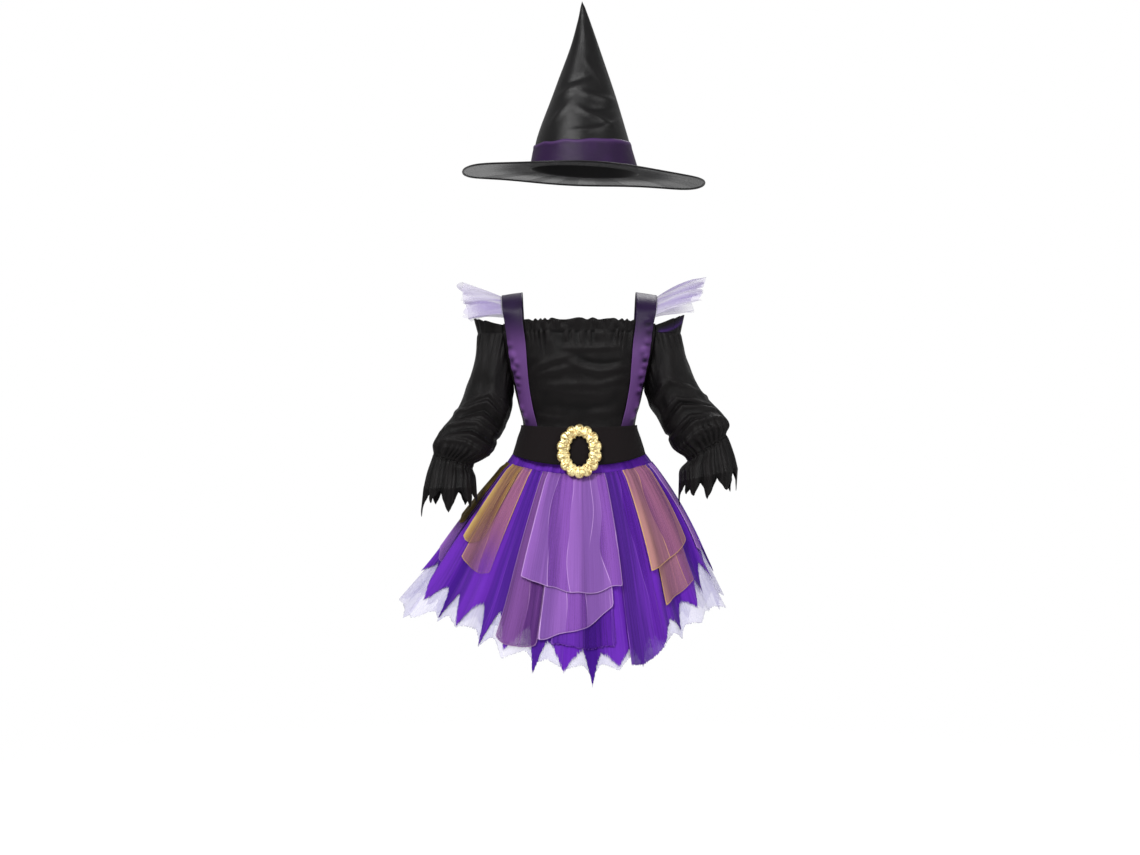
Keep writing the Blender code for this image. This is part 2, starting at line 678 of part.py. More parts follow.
def build_skirts():
    """Make the waistband, the petticoat and the violet skirt."""
    top = [skirt_point(column, WAISTBAND_TOP, 0) for column in range(0, COLUMNS, 2)]
    foot = [skirt_point(column, WAISTBAND_FOOT, 0) for column in range(0, COLUMNS, 2)]
    add_sheet("waistband", [foot, top], WALL, "violet", closed=True)
    for half, turn in (("front", 0), ("back", 2 * SIDE_COLUMN)):
        skirt_half(f"petticoat_{half}", 0, petticoat_hem, "net", PETTICOAT_POINT_DEPTH, turn)
        skirt_half(f"skirt_{half}", 1, skirt_hem, "violet", POINT_DEPTH, turn)


def build_panel(panel):
    """Make one overlay panel on the shared folds, with its own hem."""
    columns = range(panel.first, panel.last + 1)
    count = len(columns) - 1
    ends = []
    for i in range(count + 1):
        share = i / count
        straight = panel.end_first + (panel.end_last - panel.end_first) * share
        swell = panel.end_middle - (panel.end_first + panel.end_last) / 2
        ends.append(straight + swell * 4 * share * (1 - share))
    inner = [reach for reach in reversed(ROWS_DOWN) if panel.start < reach < min(ends) - PANEL_ROW]
    bands = [ends] + [[reach] * (count + 1) for reach in (*inner, panel.start)]
    rows = [[skirt_point(column, band[i], panel.layer) for i, column in enumerate(columns)]
            for band in bands]
    add_sheet(panel.name, rows, SKIRT_WALL, panel.finish)


def hat_point(i, columns, z, out=0.0):
    """Return a point of the hat's cone; its rings roll down towards +X."""
    row = read_table(HAT, z)
    angle = 2 * math.pi * i / columns
    radius = row.radius + out
    x = radius * math.sin(angle)
    return (row.centre + x, -radius * math.cos(angle), z - HAT_ROLL * x)


def build_hat():
    """Make the cone, its band and the wired brim."""
    rows = [[hat_point(i, HAT_COLUMNS, z) for i in range(HAT_COLUMNS)] for z in HAT_HEIGHTS]
    add_sheet("hat_cone", rows, WALL, "satin", closed=True, tip=HAT_TIP)
    band = []
    for lift in (0.0, 0.5, 1.0):
        row = []
        for i in range(HAT_COLUMNS):
            angle = 2 * math.pi * i / HAT_COLUMNS
            height = BAND_HEIGHT + BAND_SKEW * math.sin(angle) + BAND_WAVE * alternate(i)
            row.append(hat_point(i, HAT_COLUMNS, BAND_FOOT + height * lift, WALL + 2 * GAP))
        band.append(row)
    add_sheet("hat_band", band, WALL, "band", closed=True)
    brim = []
    for radius in BRIM_RADII:
        share = (radius - BRIM_RADII[-1]) / (BRIM_RADII[0] - BRIM_RADII[-1])
        row = []
        for i in range(BRIM_COLUMNS):
            angle = 2 * math.pi * i / BRIM_COLUMNS
            x = radius * math.sin(angle)
            front = BRIM_FRONT_DROOP * max(math.cos(angle), 0.0) ** 2
            droop = (BRIM_DROOP * math.sin(angle) ** 2 + front) * share * share
            wave = BRIM_WAVE * math.sin(BRIM_WAVES * angle + BRIM_TURN) * share
            row.append((BRIM_CENTRE_X + x, -radius * math.cos(angle),
                        BRIM_Z - droop - HAT_ROLL * x + wave))
        brim.append(row)
    add_sheet("hat_brim", brim, BRIM_WALL, "brim", closed=True)


def clear_scene():
    """Empty the scene and make the costume's collection."""
    for thing in list(bpy.data.objects):
        bpy.data.objects.remove(thing)
    collection = bpy.data.collections.new("witch_costume")
    bpy.context.scene.collection.children.link(collection)


def main():
    """Build every piece of the costume."""
    clear_scene()
    build_hat()
    build_bodice()
    build_straps()
    build_nets()
    build_sleeves()
    build_cuffs()
    build_sleeve_frills()
    build_belt()
    build_buckle()
    build_skirts()
    for panel in PANELS:
        build_panel(panel)


main()
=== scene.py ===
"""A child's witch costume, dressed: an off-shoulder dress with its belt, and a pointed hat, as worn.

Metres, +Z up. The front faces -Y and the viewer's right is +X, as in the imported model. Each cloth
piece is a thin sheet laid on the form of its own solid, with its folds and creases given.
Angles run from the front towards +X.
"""
import logging
import math
from dataclasses import dataclass, field
from enum import Enum
from typing import Any, Callable, NamedTuple, Sequence

import bmesh
import bpy
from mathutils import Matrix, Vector, noise


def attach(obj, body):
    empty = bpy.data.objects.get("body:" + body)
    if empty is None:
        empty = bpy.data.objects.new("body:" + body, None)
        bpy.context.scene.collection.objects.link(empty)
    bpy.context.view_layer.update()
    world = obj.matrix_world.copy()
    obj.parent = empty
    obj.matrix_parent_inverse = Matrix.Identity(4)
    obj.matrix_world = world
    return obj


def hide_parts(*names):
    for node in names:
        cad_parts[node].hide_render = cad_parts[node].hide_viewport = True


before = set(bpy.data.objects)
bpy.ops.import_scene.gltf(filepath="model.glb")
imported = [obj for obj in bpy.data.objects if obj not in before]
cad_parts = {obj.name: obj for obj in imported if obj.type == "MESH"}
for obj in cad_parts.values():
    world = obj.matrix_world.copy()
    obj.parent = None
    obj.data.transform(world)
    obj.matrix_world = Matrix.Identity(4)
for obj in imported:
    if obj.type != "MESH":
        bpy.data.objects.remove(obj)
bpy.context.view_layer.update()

LOG = logging.getLogger("witch_costume")
BODY = "root"

Colour = tuple[float, float, float]
Grid = list[list[Vector]]


class Held(Enum):
    """How a cloth piece is held."""

    DRAPED = "draped"
    HUNG = "hung"
    GATHERED = "gathered"
    LAID = "laid"
    STRETCHED = "stretched"


class Side(Enum):
    """The two sides of the costume, as the viewer sees them."""

    LEFT = "left"
    RIGHT = "right"


class Sock:
    """A number that leaves a shader node, with Python's own operators."""

    def __init__(self, dye: "Dye", socket: bpy.types.NodeSocket) -> None:
        """Keep the material's dye and the socket."""
        self.dye, self.socket = dye, socket

    def __add__(self, other: Any) -> "Sock":
        """Add a number or a socket."""
        return self.dye.math("ADD", self, other)

    def __sub__(self, other: Any) -> "Sock":
        """Take a number or a socket away."""
        return self.dye.math("SUBTRACT", self, other)

    def __rsub__(self, other: Any) -> "Sock":
        """Take this away from a number."""
        return self.dye.math("SUBTRACT", other, self)

    def __mul__(self, other: Any) -> "Sock":
        """Multiply by a number or a socket."""
        return self.dye.math("MULTIPLY", self, other)

    def __truediv__(self, other: Any) -> "Sock":
        """Divide by a number or a socket."""
        return self.dye.math("DIVIDE", self, other)

    def __pow__(self, other: Any) -> "Sock":
        """Raise to a power."""
        return self.dye.math("POWER", self, other)

    __radd__ = __add__
    __rmul__ = __mul__


class Dye:
    """Writes the nodes of one material."""

    def __init__(self, name: str) -> None:
        """Start a material on its own shader."""
        self.material = bpy.data.materials.new(name)
        self.material.use_nodes = True
        self.tree = self.material.node_tree
        self.shader = self.tree.nodes["Principled BSDF"]

    def node(self, kind: str, settings: dict[str, Any] | None = None,
             inputs: dict[Any, Any] | None = None) -> bpy.types.Node:
        """Add a node.

        Args:
            kind: the node's type.
            settings: its properties, which are set first.
            inputs: values or links for its sockets, by name or place.

        Returns:
            The node.
        """
        node = self.tree.nodes.new(kind)
        for name, value in (settings or {}).items():
            setattr(node, name, value)
        for place, value in (inputs or {}).items():
            self.join(node.inputs[place], value)
        return node

    def join(self, socket: bpy.types.NodeSocket, value: Any) -> None:
        """Link a socket, or set its value."""
        if isinstance(value, Sock):
            value = value.socket
        if isinstance(value, bpy.types.NodeSocket):
            self.tree.links.new(value, socket)
        elif isinstance(value, tuple) and len(value) == 3 and socket.type == "RGBA":
            socket.default_value = (*value, 1.0)
        else:
            socket.default_value = value

    def math(self, operation: str, *values: Any) -> Sock:
        """Add a Math node on values or sockets."""
        node = self.node("ShaderNodeMath", {"operation": operation}, dict(enumerate(values)))
        return Sock(self, node.outputs[0])

    def step(self, value: Sock, low: float, high: float) -> Sock:
        """Return 0 below low and 1 above high, smooth between."""
        node = self.node("ShaderNodeMapRange", {"interpolation_type": "SMOOTHSTEP"},
                         {"Value": value, "From Min": low, "From Max": high})
        return Sock(self, node.outputs["Result"])

    def mix(self, share: Any, first: Any, second: Any) -> bpy.types.NodeSocket:
        """Mix two colours."""
        node = self.node("ShaderNodeMix", {"data_type": "RGBA"}, {0: share, 6: first, 7: second})
        return node.outputs[2]

    def place(self, across: float, along: float) -> bpy.types.NodeSocket:
        """Return the cloth's own coordinates, in cycles per metre across and along it."""
        uv = self.node("ShaderNodeUVMap", {"uv_map": "cloth"})
        node = self.node("ShaderNodeVectorMath", {"operation": "MULTIPLY"},
                         {0: uv.outputs[0], 1: (across, along, 1.0)})
        return node.outputs[0]

    def plies(self, density: float) -> tuple[Sock, Sock]:
        """Divide the cloth into uneven strips that wander down it.

        Args:
            density: strips to the metre.

        Returns:
            The distance from the nearest strip's edge, in strips, and a shade for each strip, 0 to 1.
        """
        parts = self.node("ShaderNodeSeparateXYZ", inputs={0: self.place(1.0, 1.0)})
        bend = (self.noise(7.0, 6.0, 1.0) - 0.5) * 0.050
        across = (Sock(self, parts.outputs[0]) + bend) * density
        edges = self.node("ShaderNodeTexVoronoi", {"voronoi_dimensions": "1D", "feature": "DISTANCE_TO_EDGE"},
                          {"W": across, "Scale": 1.0})
        strips = self.node("ShaderNodeTexVoronoi", {"voronoi_dimensions": "1D", "feature": "F1"},
                           {"W": across, "Scale": 1.0})
        shade = self.node("ShaderNodeSeparateXYZ", inputs={0: strips.outputs["Color"]})
        return Sock(self, edges.outputs["Distance"]), Sock(self, shade.outputs[0])

    def within(self, value: Sock, low: float = 0.0, high: float = 1.0) -> Sock:
        """Keep a value between two numbers."""
        return self.math("MINIMUM", self.math("MAXIMUM", value, low), high)

    def noise(self, across: float, along: float, detail: float = 2.0) -> Sock:
        """Return noise on the cloth, 0 to 1, with features this many to the metre."""
        node = self.node("ShaderNodeTexNoise", {"noise_dimensions": "2D"},
                         {"Vector": self.place(across, along), "Scale": 1.0, "Detail": detail})
        return Sock(self, node.outputs[0])

    def wave(self, across: float, along: float) -> Sock:
        """Return a sine on the cloth, -1 to 1, in cycles per metre across plus along."""
        parts = self.node("ShaderNodeSeparateXYZ", inputs={0: self.place(across, along)})
        turn = Sock(self, parts.outputs[0]) + Sock(self, parts.outputs[1])
        return self.math("SINE", turn * (2 * math.pi))

    def cloth(self) -> tuple[Sock, Sock, Sock]:
        """Return the sheet's own fold height, distance from its free edge and tone."""
        mark = self.node("ShaderNodeAttribute", {"attribute_name": "fold"})
        parts = self.node("ShaderNodeSeparateXYZ", inputs={0: mark.outputs["Vector"]})
        return tuple(Sock(self, parts.outputs[i]) for i in range(3))

    def bump(self, height: Sock, distance: float, strength: float = 1.0) -> None:
        """Raise the surface by a height in metres times distance."""
        node = self.node("ShaderNodeBump",
                         inputs={"Height": height, "Distance": distance, "Strength": strength})
        self.join(self.shader.inputs["Normal"], node.outputs[0])

    def set(self, **values: Any) -> None:
        """Set or link the shader's inputs, with spaces written as underscores."""
        for name, value in values.items():
            self.join(self.shader.inputs[name.replace("_", " ")], value)


@dataclass(frozen=True)
class Tulle:
    """A thin net: fine threads down the cloth, and thin lines where it folds back on itself.

    Attributes:
        slot: the record's material slot.
        colour: of the flat cloth.
        deep: painted shade in the folds.
        line: on fold lines and cut edges.
        cover: how much of the light one surface stops.
        lines: how strong the fold lines are.
        fray: how far the cut hem is frayed, in metres.
        folds: fold lines to the metre.
        fuzz: how much single threads show.
    """

    slot: str
    colour: Colour
    deep: Colour
    line: Colour
    cover: float
    lines: float = 0.6
    fray: float = 0.002
    folds: float = 24.0
    fuzz: float = 1.0

    def dress(self) -> bpy.types.Material:
        """Make the material."""
        dye = Dye(self.slot)
        fold, edge, tone = dye.cloth()
        broad = dye.noise(30.0, 3.5)
        thread = dye.noise(620.0, 9.0, 1.0)
        streak = dye.noise(150.0, 3.0)
        # Painted shade: a low shade gives the deep colour in the folds, from the fold height, mixed with streaks and
        # threads that vary at random.
        shade = dye.step(fold * 0.8 + (broad - 0.5) * 2.0 + (streak - 0.5) * 1.6 * self.fuzz
                         + (thread - 0.5) * 0.8 * self.fuzz, -0.95, 0.85)
        gap, ply = dye.plies(self.folds)
        doubled = dye.step(ply, 0.35, 0.65)
        crossing = 1 - dye.step(gap, 0.0003 * self.folds, 0.0010 * self.folds)
        strength = dye.step(dye.noise(40.0, 9.0, 0.0), 0.34, 0.62)
        rim = 1 - dye.step(edge, 0.0013, 0.0023)
        # tone adds the line colour; on the overlay panels part of it is a painted highlight.
        line = dye.within((crossing * strength + rim * 0.9) * self.lines + tone)
        flat = dye.mix(shade, self.deep, self.colour)
        ply_colour = dye.mix(doubled * 0.22 * self.lines, flat, self.line)
        dye.set(Base_Color=dye.mix(line, ply_colour, self.line))
        cell = dye.node("ShaderNodeTexVoronoi", {"voronoi_dimensions": "2D", "feature": "DISTANCE_TO_EDGE"},
                        {"Vector": dye.place(760.0, 760.0), "Scale": 1.0})
        net = 1 - dye.step(Sock(dye, cell.outputs[0]), 0.04, 0.22)
        cover = (thread - 0.5) * 0.25 * self.fuzz + (net - 0.5) * 0.08 + line * 0.35 + doubled * 0.10 + self.cover
        cover = cover + dye.math("MINIMUM", tone, 0.0)
        frayed = dye.step(edge - (thread - 0.35) * self.fray * 3, 0.0, 0.0007)
        dye.set(Alpha=dye.within(cover) * frayed)
        dye.bump(net * 0.5 + thread + doubled * 0.8, 0.00035, 0.5)
        dye.set(Roughness=0.65, Sheen_Weight=0.10, Sheen_Roughness=0.4, Specular_IOR_Level=0.12)
        return dye.material


@dataclass(frozen=True)
class Satin:
    """A smooth shiny weave, with faint threads across it.

    Attributes:
        slot: the record's material slot.
        colour: of the cloth.
        deep: painted shade in its folds.
        glow: painted highlight and sheen, laid where the piece's tone says.
        roughness: of the shine.
    """

    slot: str
    colour: Colour
    deep: Colour
    glow: Colour
    roughness: float

    def dress(self) -> bpy.types.Material:
        """Make the material."""
        dye = Dye(self.slot)
        fold, edge, tone = dye.cloth()
        # Painted shade: the deep colour in the folds, from the fold height and random patches; painted highlight and
        # sheen: the glow colour, laid by the piece's tone.
        shade = dye.step(fold + (dye.noise(30.0, 18.0) - 0.5) * 0.8, -0.7, 0.6)
        colour = dye.mix(dye.math("MINIMUM", dye.math("MAXIMUM", tone, 0.0), 1.0),
                         dye.mix(shade, self.deep, self.colour), self.glow)
        slub = dye.noise(90.0, 1500.0, 1.0)
        weave = dye.wave(1400.0, 700.0)
        dye.set(Base_Color=colour)
        dye.set(Roughness=(slub - 0.5) * 0.16 + self.roughness)
        dye.bump(slub + weave * 0.15 + dye.noise(60.0, 40.0) * 1.5, 0.0003, 0.35)
        dye.set(Sheen_Weight=0.03, Sheen_Roughness=0.35, Specular_IOR_Level=0.24)
        return dye.material


@dataclass(frozen=True)
class Jersey:
    """A fine knit: rows of small stitches, with a soft shine on its ridges.

    Attributes:
        slot: the record's material slot.
        colour: of the knit.
        deep: painted shade in its folds.
        painted_sheen: a purple sheen painted in a thin line along one neck frill.
    """

    slot: str
    colour: Colour
    deep: Colour
    painted_sheen: Colour

    def dress(self) -> bpy.types.Material:
        """Make the material."""
        dye = Dye(self.slot)
        fold, edge, tone = dye.cloth()
        # Painted shade: the deep colour in the folds, from the fold height and random patches.
        shade = dye.step(fold + (dye.noise(40.0, 40.0) - 0.5) * 0.7, -0.8, 0.5)
        # Painted sheen: the third colour paints a thin purple line where the piece's tone lays it, on the right neck
        # frill.
        dye.set(Base_Color=dye.mix(tone, dye.mix(shade, self.deep, self.colour), self.painted_sheen))
        wale = dye.wave(900.0, 0.0)
        stitch = dye.wave(450.0, 1100.0) * dye.wave(450.0, -1100.0)
        dye.set(Roughness=dye.noise(200.0, 200.0) * 0.12 + 0.34)
        dye.bump(wale * 0.6 + stitch * 0.4 + dye.noise(700.0, 700.0), 0.00022, 0.5)
        dye.set(Sheen_Weight=0.01, Sheen_Roughness=0.35, Specular_IOR_Level=0.15)
        return dye.material


@dataclass(frozen=True)
class Elastic:
    """A wide ribbed elastic, matte, with its ribs along the belt.

    Attributes:
        slot: the record's material slot.
        colour: of the ribs.
        deep: painted shade between them.
        rib: distance from rib to rib.
    """

    slot: str
    colour: Colour
    deep: Colour
    rib: float = 0.0016

    def dress(self) -> bpy.types.Material:
        """Make the material."""
        dye = Dye(self.slot)
        rib = dye.wave(0.0, 1 / self.rib) * 0.5 + 0.5
        cross = dye.wave(1 / 0.0011, 0.0) * 0.5 + 0.5
        worn = dye.noise(22.0, 30.0)
        # Painted shade between the ribs, with worn patches that vary at random.
        dye.set(Base_Color=dye.mix(rib * 0.6 + worn * 0.5, self.deep, self.colour))
        dye.set(Roughness=worn * 0.1 + 0.78)
        dye.bump(rib + cross * 0.5, 0.0003, 0.6)
        dye.set(Sheen_Weight=0.03, Sheen_Roughness=0.5, Specular_IOR_Level=0.12)
        return dye.material


@dataclass(frozen=True)
class GoldCoat:
    """Moulded plastic under a thin gold coat, darker in the hollows of its fine grain and paler on its high places.

    Attributes:
        slot: the record's material slot.
        colour: of the coat.
        deep: in its hollows.
    """

    slot: str
    colour: Colour
    deep: Colour

    def dress(self) -> bpy.types.Material:
        """Make the material."""
        dye = Dye(self.slot)
        spot = dye.node("ShaderNodeTexCoord").outputs["Object"]
        coarse = dye.node("ShaderNodeTexNoise", inputs={"Vector": spot, "Scale": 260.0, "Detail": 3.0})
        fine = dye.node("ShaderNodeTexNoise", inputs={"Vector": spot, "Scale": 900.0, "Detail": 2.0})
        grain = Sock(dye, coarse.outputs[0])
        dye.set(Base_Color=dye.mix(dye.step(grain, 0.36, 0.56), self.deep, self.colour))
        dye.set(Roughness=Sock(dye, fine.outputs[0]) * 0.3 + 0.22)
        dye.bump(grain + Sock(dye, fine.outputs[0]) * 0.3, 0.0012, 0.5)
        dye.set(Metallic=0.75)
        return dye.material


Finish = Tulle | Satin | Jersey | Elastic | GoldCoat

# The cloths' second colours are painted shade in the folds, and between the ribs on the elastic; the satins' third
# colour is painted highlight and sheen.
BLACK_SATIN = Satin("black_satin", (0.0050, 0.0046, 0.0050), (0.0026, 0.0024, 0.0027), (0.040, 0.038, 0.040), 0.37)
BAND_SATIN = Satin("purple_band", (0.0230, 0.0030, 0.0470), (0.0100, 0.0020, 0.0210), (0.150, 0.070, 0.240), 0.50)
STRAP_SATIN = Satin("purple_satin", (0.0160, 0.0050, 0.0360), (0.0080, 0.0030, 0.0180), (0.200, 0.080, 0.310), 0.40)
BRIM_NET = Tulle("sheer_black", (0.0170, 0.0170, 0.0195), (0.0090, 0.0090, 0.0100), (0.0050, 0.0050, 0.0056), 0.58,
                 0.16, 0.0, 24.0, 0.5)
# The knit's third colour is a painted purple sheen on the right neck frill.
BLACK_JERSEY = Jersey("black_jersey", (0.0050, 0.0041, 0.0043), (0.0020, 0.0017, 0.0018), (0.040, 0.012, 0.110))
BLACK_ELASTIC = Elastic("black_elastic", (0.0095, 0.0066, 0.0072), (0.0050, 0.0036, 0.0040))
BUCKLE_GOLD = GoldCoat("buckle_gold", (0.880, 0.740, 0.370), (0.480, 0.320, 0.110))
VIOLET = Tulle("violet_tulle", (0.122, 0.015, 0.410), (0.046, 0.003, 0.220), (0.330, 0.130, 0.640), 1.1, 0.24, 0.006, 14.0)
VIOLET_VEIL = Tulle("violet_tulle", (0.118, 0.016, 0.390), (0.050, 0.005, 0.215), (0.330, 0.130, 0.640), 0.72, 0.35,
                    0.002, 20.0)
LILAC = Tulle("lilac_tulle", (0.310, 0.110, 0.540), (0.190, 0.060, 0.375), (0.680, 0.440, 0.820), 0.56, 0.60, 0.0, 26.0, 0.7)
MAUVE = Tulle("mauve_tulle", (0.210, 0.065, 0.330), (0.100, 0.027, 0.180), (0.500, 0.300, 0.540), 0.58, 0.50, 0.0)
COPPER = Tulle("copper_tulle", (0.400, 0.150, 0.280), (0.230, 0.080, 0.200), (0.640, 0.380, 0.150), 0.58, 0.80, 0.0,
               22.0, 0.7)
GOLD = Tulle("gold_tulle", (0.430, 0.240, 0.075), (0.240, 0.105, 0.090), (0.680, 0.470, 0.150), 0.58, 0.70, 0.0, 26.0, 0.7)
OLIVE = Tulle("olive_tulle", (0.160, 0.100, 0.006), (0.080, 0.048, 0.005), (0.380, 0.260, 0.030), 0.80, 0.30, 0.0)
NET = Tulle("pale_net", (0.720, 0.690, 0.880), (0.560, 0.530, 0.790), (0.250, 0.235, 0.400), 0.30, 0.55, 0.002, 12.0, 0.4)
SHOULDER_NET = Tulle("pale_net", (0.740, 0.710, 0.820), (0.440, 0.350, 0.680), (0.420, 0.330, 0.640), 0.42, 0.28, 0.0,
                     14.0, 0.4)


class TorsoRow(NamedTuple):
    """Half sizes of the torso form at a height."""

    z: float
    half_width: float
    half_depth: float


class StrapRow(NamedTuple):
    """A strap's place where it lies on the torso."""

    z: float
    centre: float
    half_width: float
    out: float


class ShoulderRow(NamedTuple):
    """A strap's place where it bridges the shoulder."""

    z: float
    centre: float
    half_width: float
    y: float
    outer_back: float
    outer_drop: float


class Ring(NamedTuple):
    """A ring across an arm."""

    outer_x: float
    outer_z: float
    inner_x: float
    inner_z: float
    depth: float
    y: float


class SkirtRow(NamedTuple):
    """Sizes of the skirt's shared form at a reach down the cloth."""

    reach: float
    left: float
    right: float
    front: float
    back: float
    side_z: float
    front_z: float


class Hem(NamedTuple):
    """How far the points of the violet skirt and of the petticoat reach at an angle."""

    angle: float
    skirt: float
    petticoat: float


class HatRow(NamedTuple):
    """The hat's cone at a height."""

    z: float
    centre: float
    radius: float


class Crease(NamedTuple):
    """A soft ridge, or a trough where its height is negative.

    across and along place its middle, in metres on the cloth; length and width are half sizes; lean
    is its slope, and sag how far its ends rise above its middle.
    """

    across: float
    along: float
    length: float
    width: float
    height: float
    lean: float
    sag: float


class Pucker(NamedTuple):
    """A small pulled place on a strap: its height, its place across, its size and its depth."""

    z: float
    across: float
    size: float
    depth: float


class Panel(NamedTuple):
    """An overlay panel: its columns, layer, top, how far it reaches, and its cloth."""

    name: str
    first: float
    last: float
    layer: float
    start: float
    end_first: float
    end_middle: float
    end_last: float
    finish: Tulle
    thin: float = 0.0
    glow: float = 0.0


def read_rows(rows: Sequence[Any], at: float) -> Any:
    """Return the row at a place along a table's first column, on a smooth curve through its rows.

    Args:
        rows: a table of named rows.
        at: the place.

    Returns:
        A row of the same kind.
    """
    i = min(max(sum(row[0] <= at for row in rows) - 1, 0), len(rows) - 2)
    here, there = rows[i], rows[i + 1]
    before, after = rows[max(i - 1, 0)], rows[min(i + 2, len(rows) - 1)]
    span = there[0] - here[0]
    part = (at - here[0]) / span
    ease = part * part * (3 - 2 * part)
    values = []
    for k in range(len(here)):
        leave = (there[k] - before[k]) / (there[0] - before[0]) * span
        arrive = (after[k] - here[k]) / (after[0] - here[0]) * span
        bend = leave * part * (1 - part) ** 2 - arrive * part * part * (1 - part)
        values.append(here[k] * (1 - ease) + there[k] * ease + bend)
    return type(here)(*values)


def signed_power(value: float, power: float) -> float:
    """Raise the size of a value to a power and keep its sign."""
    return math.copysign(abs(value) ** power, value)


def ease(value: float, low: float, high: float) -> float:
    """Return 0 below low and 1 above high, smooth between."""
    part = min(max((value - low) / (high - low), 0.0), 1.0)
    return part * part * (3 - 2 * part)


def ripple(at: float, seed: float) -> float:
    """Return a slow uneven wave, about -1 to 1, along a line."""
    return 1.9 * noise.noise(Vector((at, seed, 0.37 * seed)))


def crease_height(creases: Sequence[Crease], across: float, along: float) -> float:
    """Return how far a set of creases lifts the cloth at a place."""
    height = 0.0
    for crease in creases:
        part = (across - crease.across) / crease.length
        if abs(part) >= 1:
            continue
        line = crease.along + crease.lean * (across - crease.across) + crease.sag * part * part
        off = (along - line) / crease.width
        if abs(off) < 3:
            height += crease.height * (1 - part * part) ** 1.5 * math.exp(-off * off)
    return height


def curve_through(stops: Sequence[Vector], count: int) -> list[Vector]:
    """Return points on a smooth curve through stops, evenly spaced by length between them.

    Args:
        stops: the points that the curve passes.
        count: how many points to return.

    Returns:
        The points, from the first stop to the last.
    """
    marks = [0.0]
    for here, there in zip(stops, stops[1:]):
        marks.append(marks[-1] + max((there - here).length, 1e-6))
    rows = [(mark, *stop) for mark, stop in zip(marks, stops)]
    made = []
    for i in range(count):
        at = marks[-1] * i / (count - 1)
        k = min(max(sum(mark <= at for mark in marks) - 1, 0), len(marks) - 2)
        here, there = rows[k], rows[k + 1]
        before, after = rows[max(k - 1, 0)], rows[min(k + 2, len(rows) - 1)]
        span = there[0] - here[0]
        part = (at - here[0]) / span
        blend = part * part * (3 - 2 * part)
        point = []
        for j in (1, 2, 3):
            leave = (there[j] - before[j]) / (there[0] - before[0]) * span
            arrive = (after[j] - here[j]) / (after[0] - here[0]) * span
            bend = leave * part * (1 - part) ** 2 - arrive * part * part * (1 - part)
            point.append(here[j] * (1 - blend) + there[j] * blend + bend)
        made.append(Vector(point))
    return made


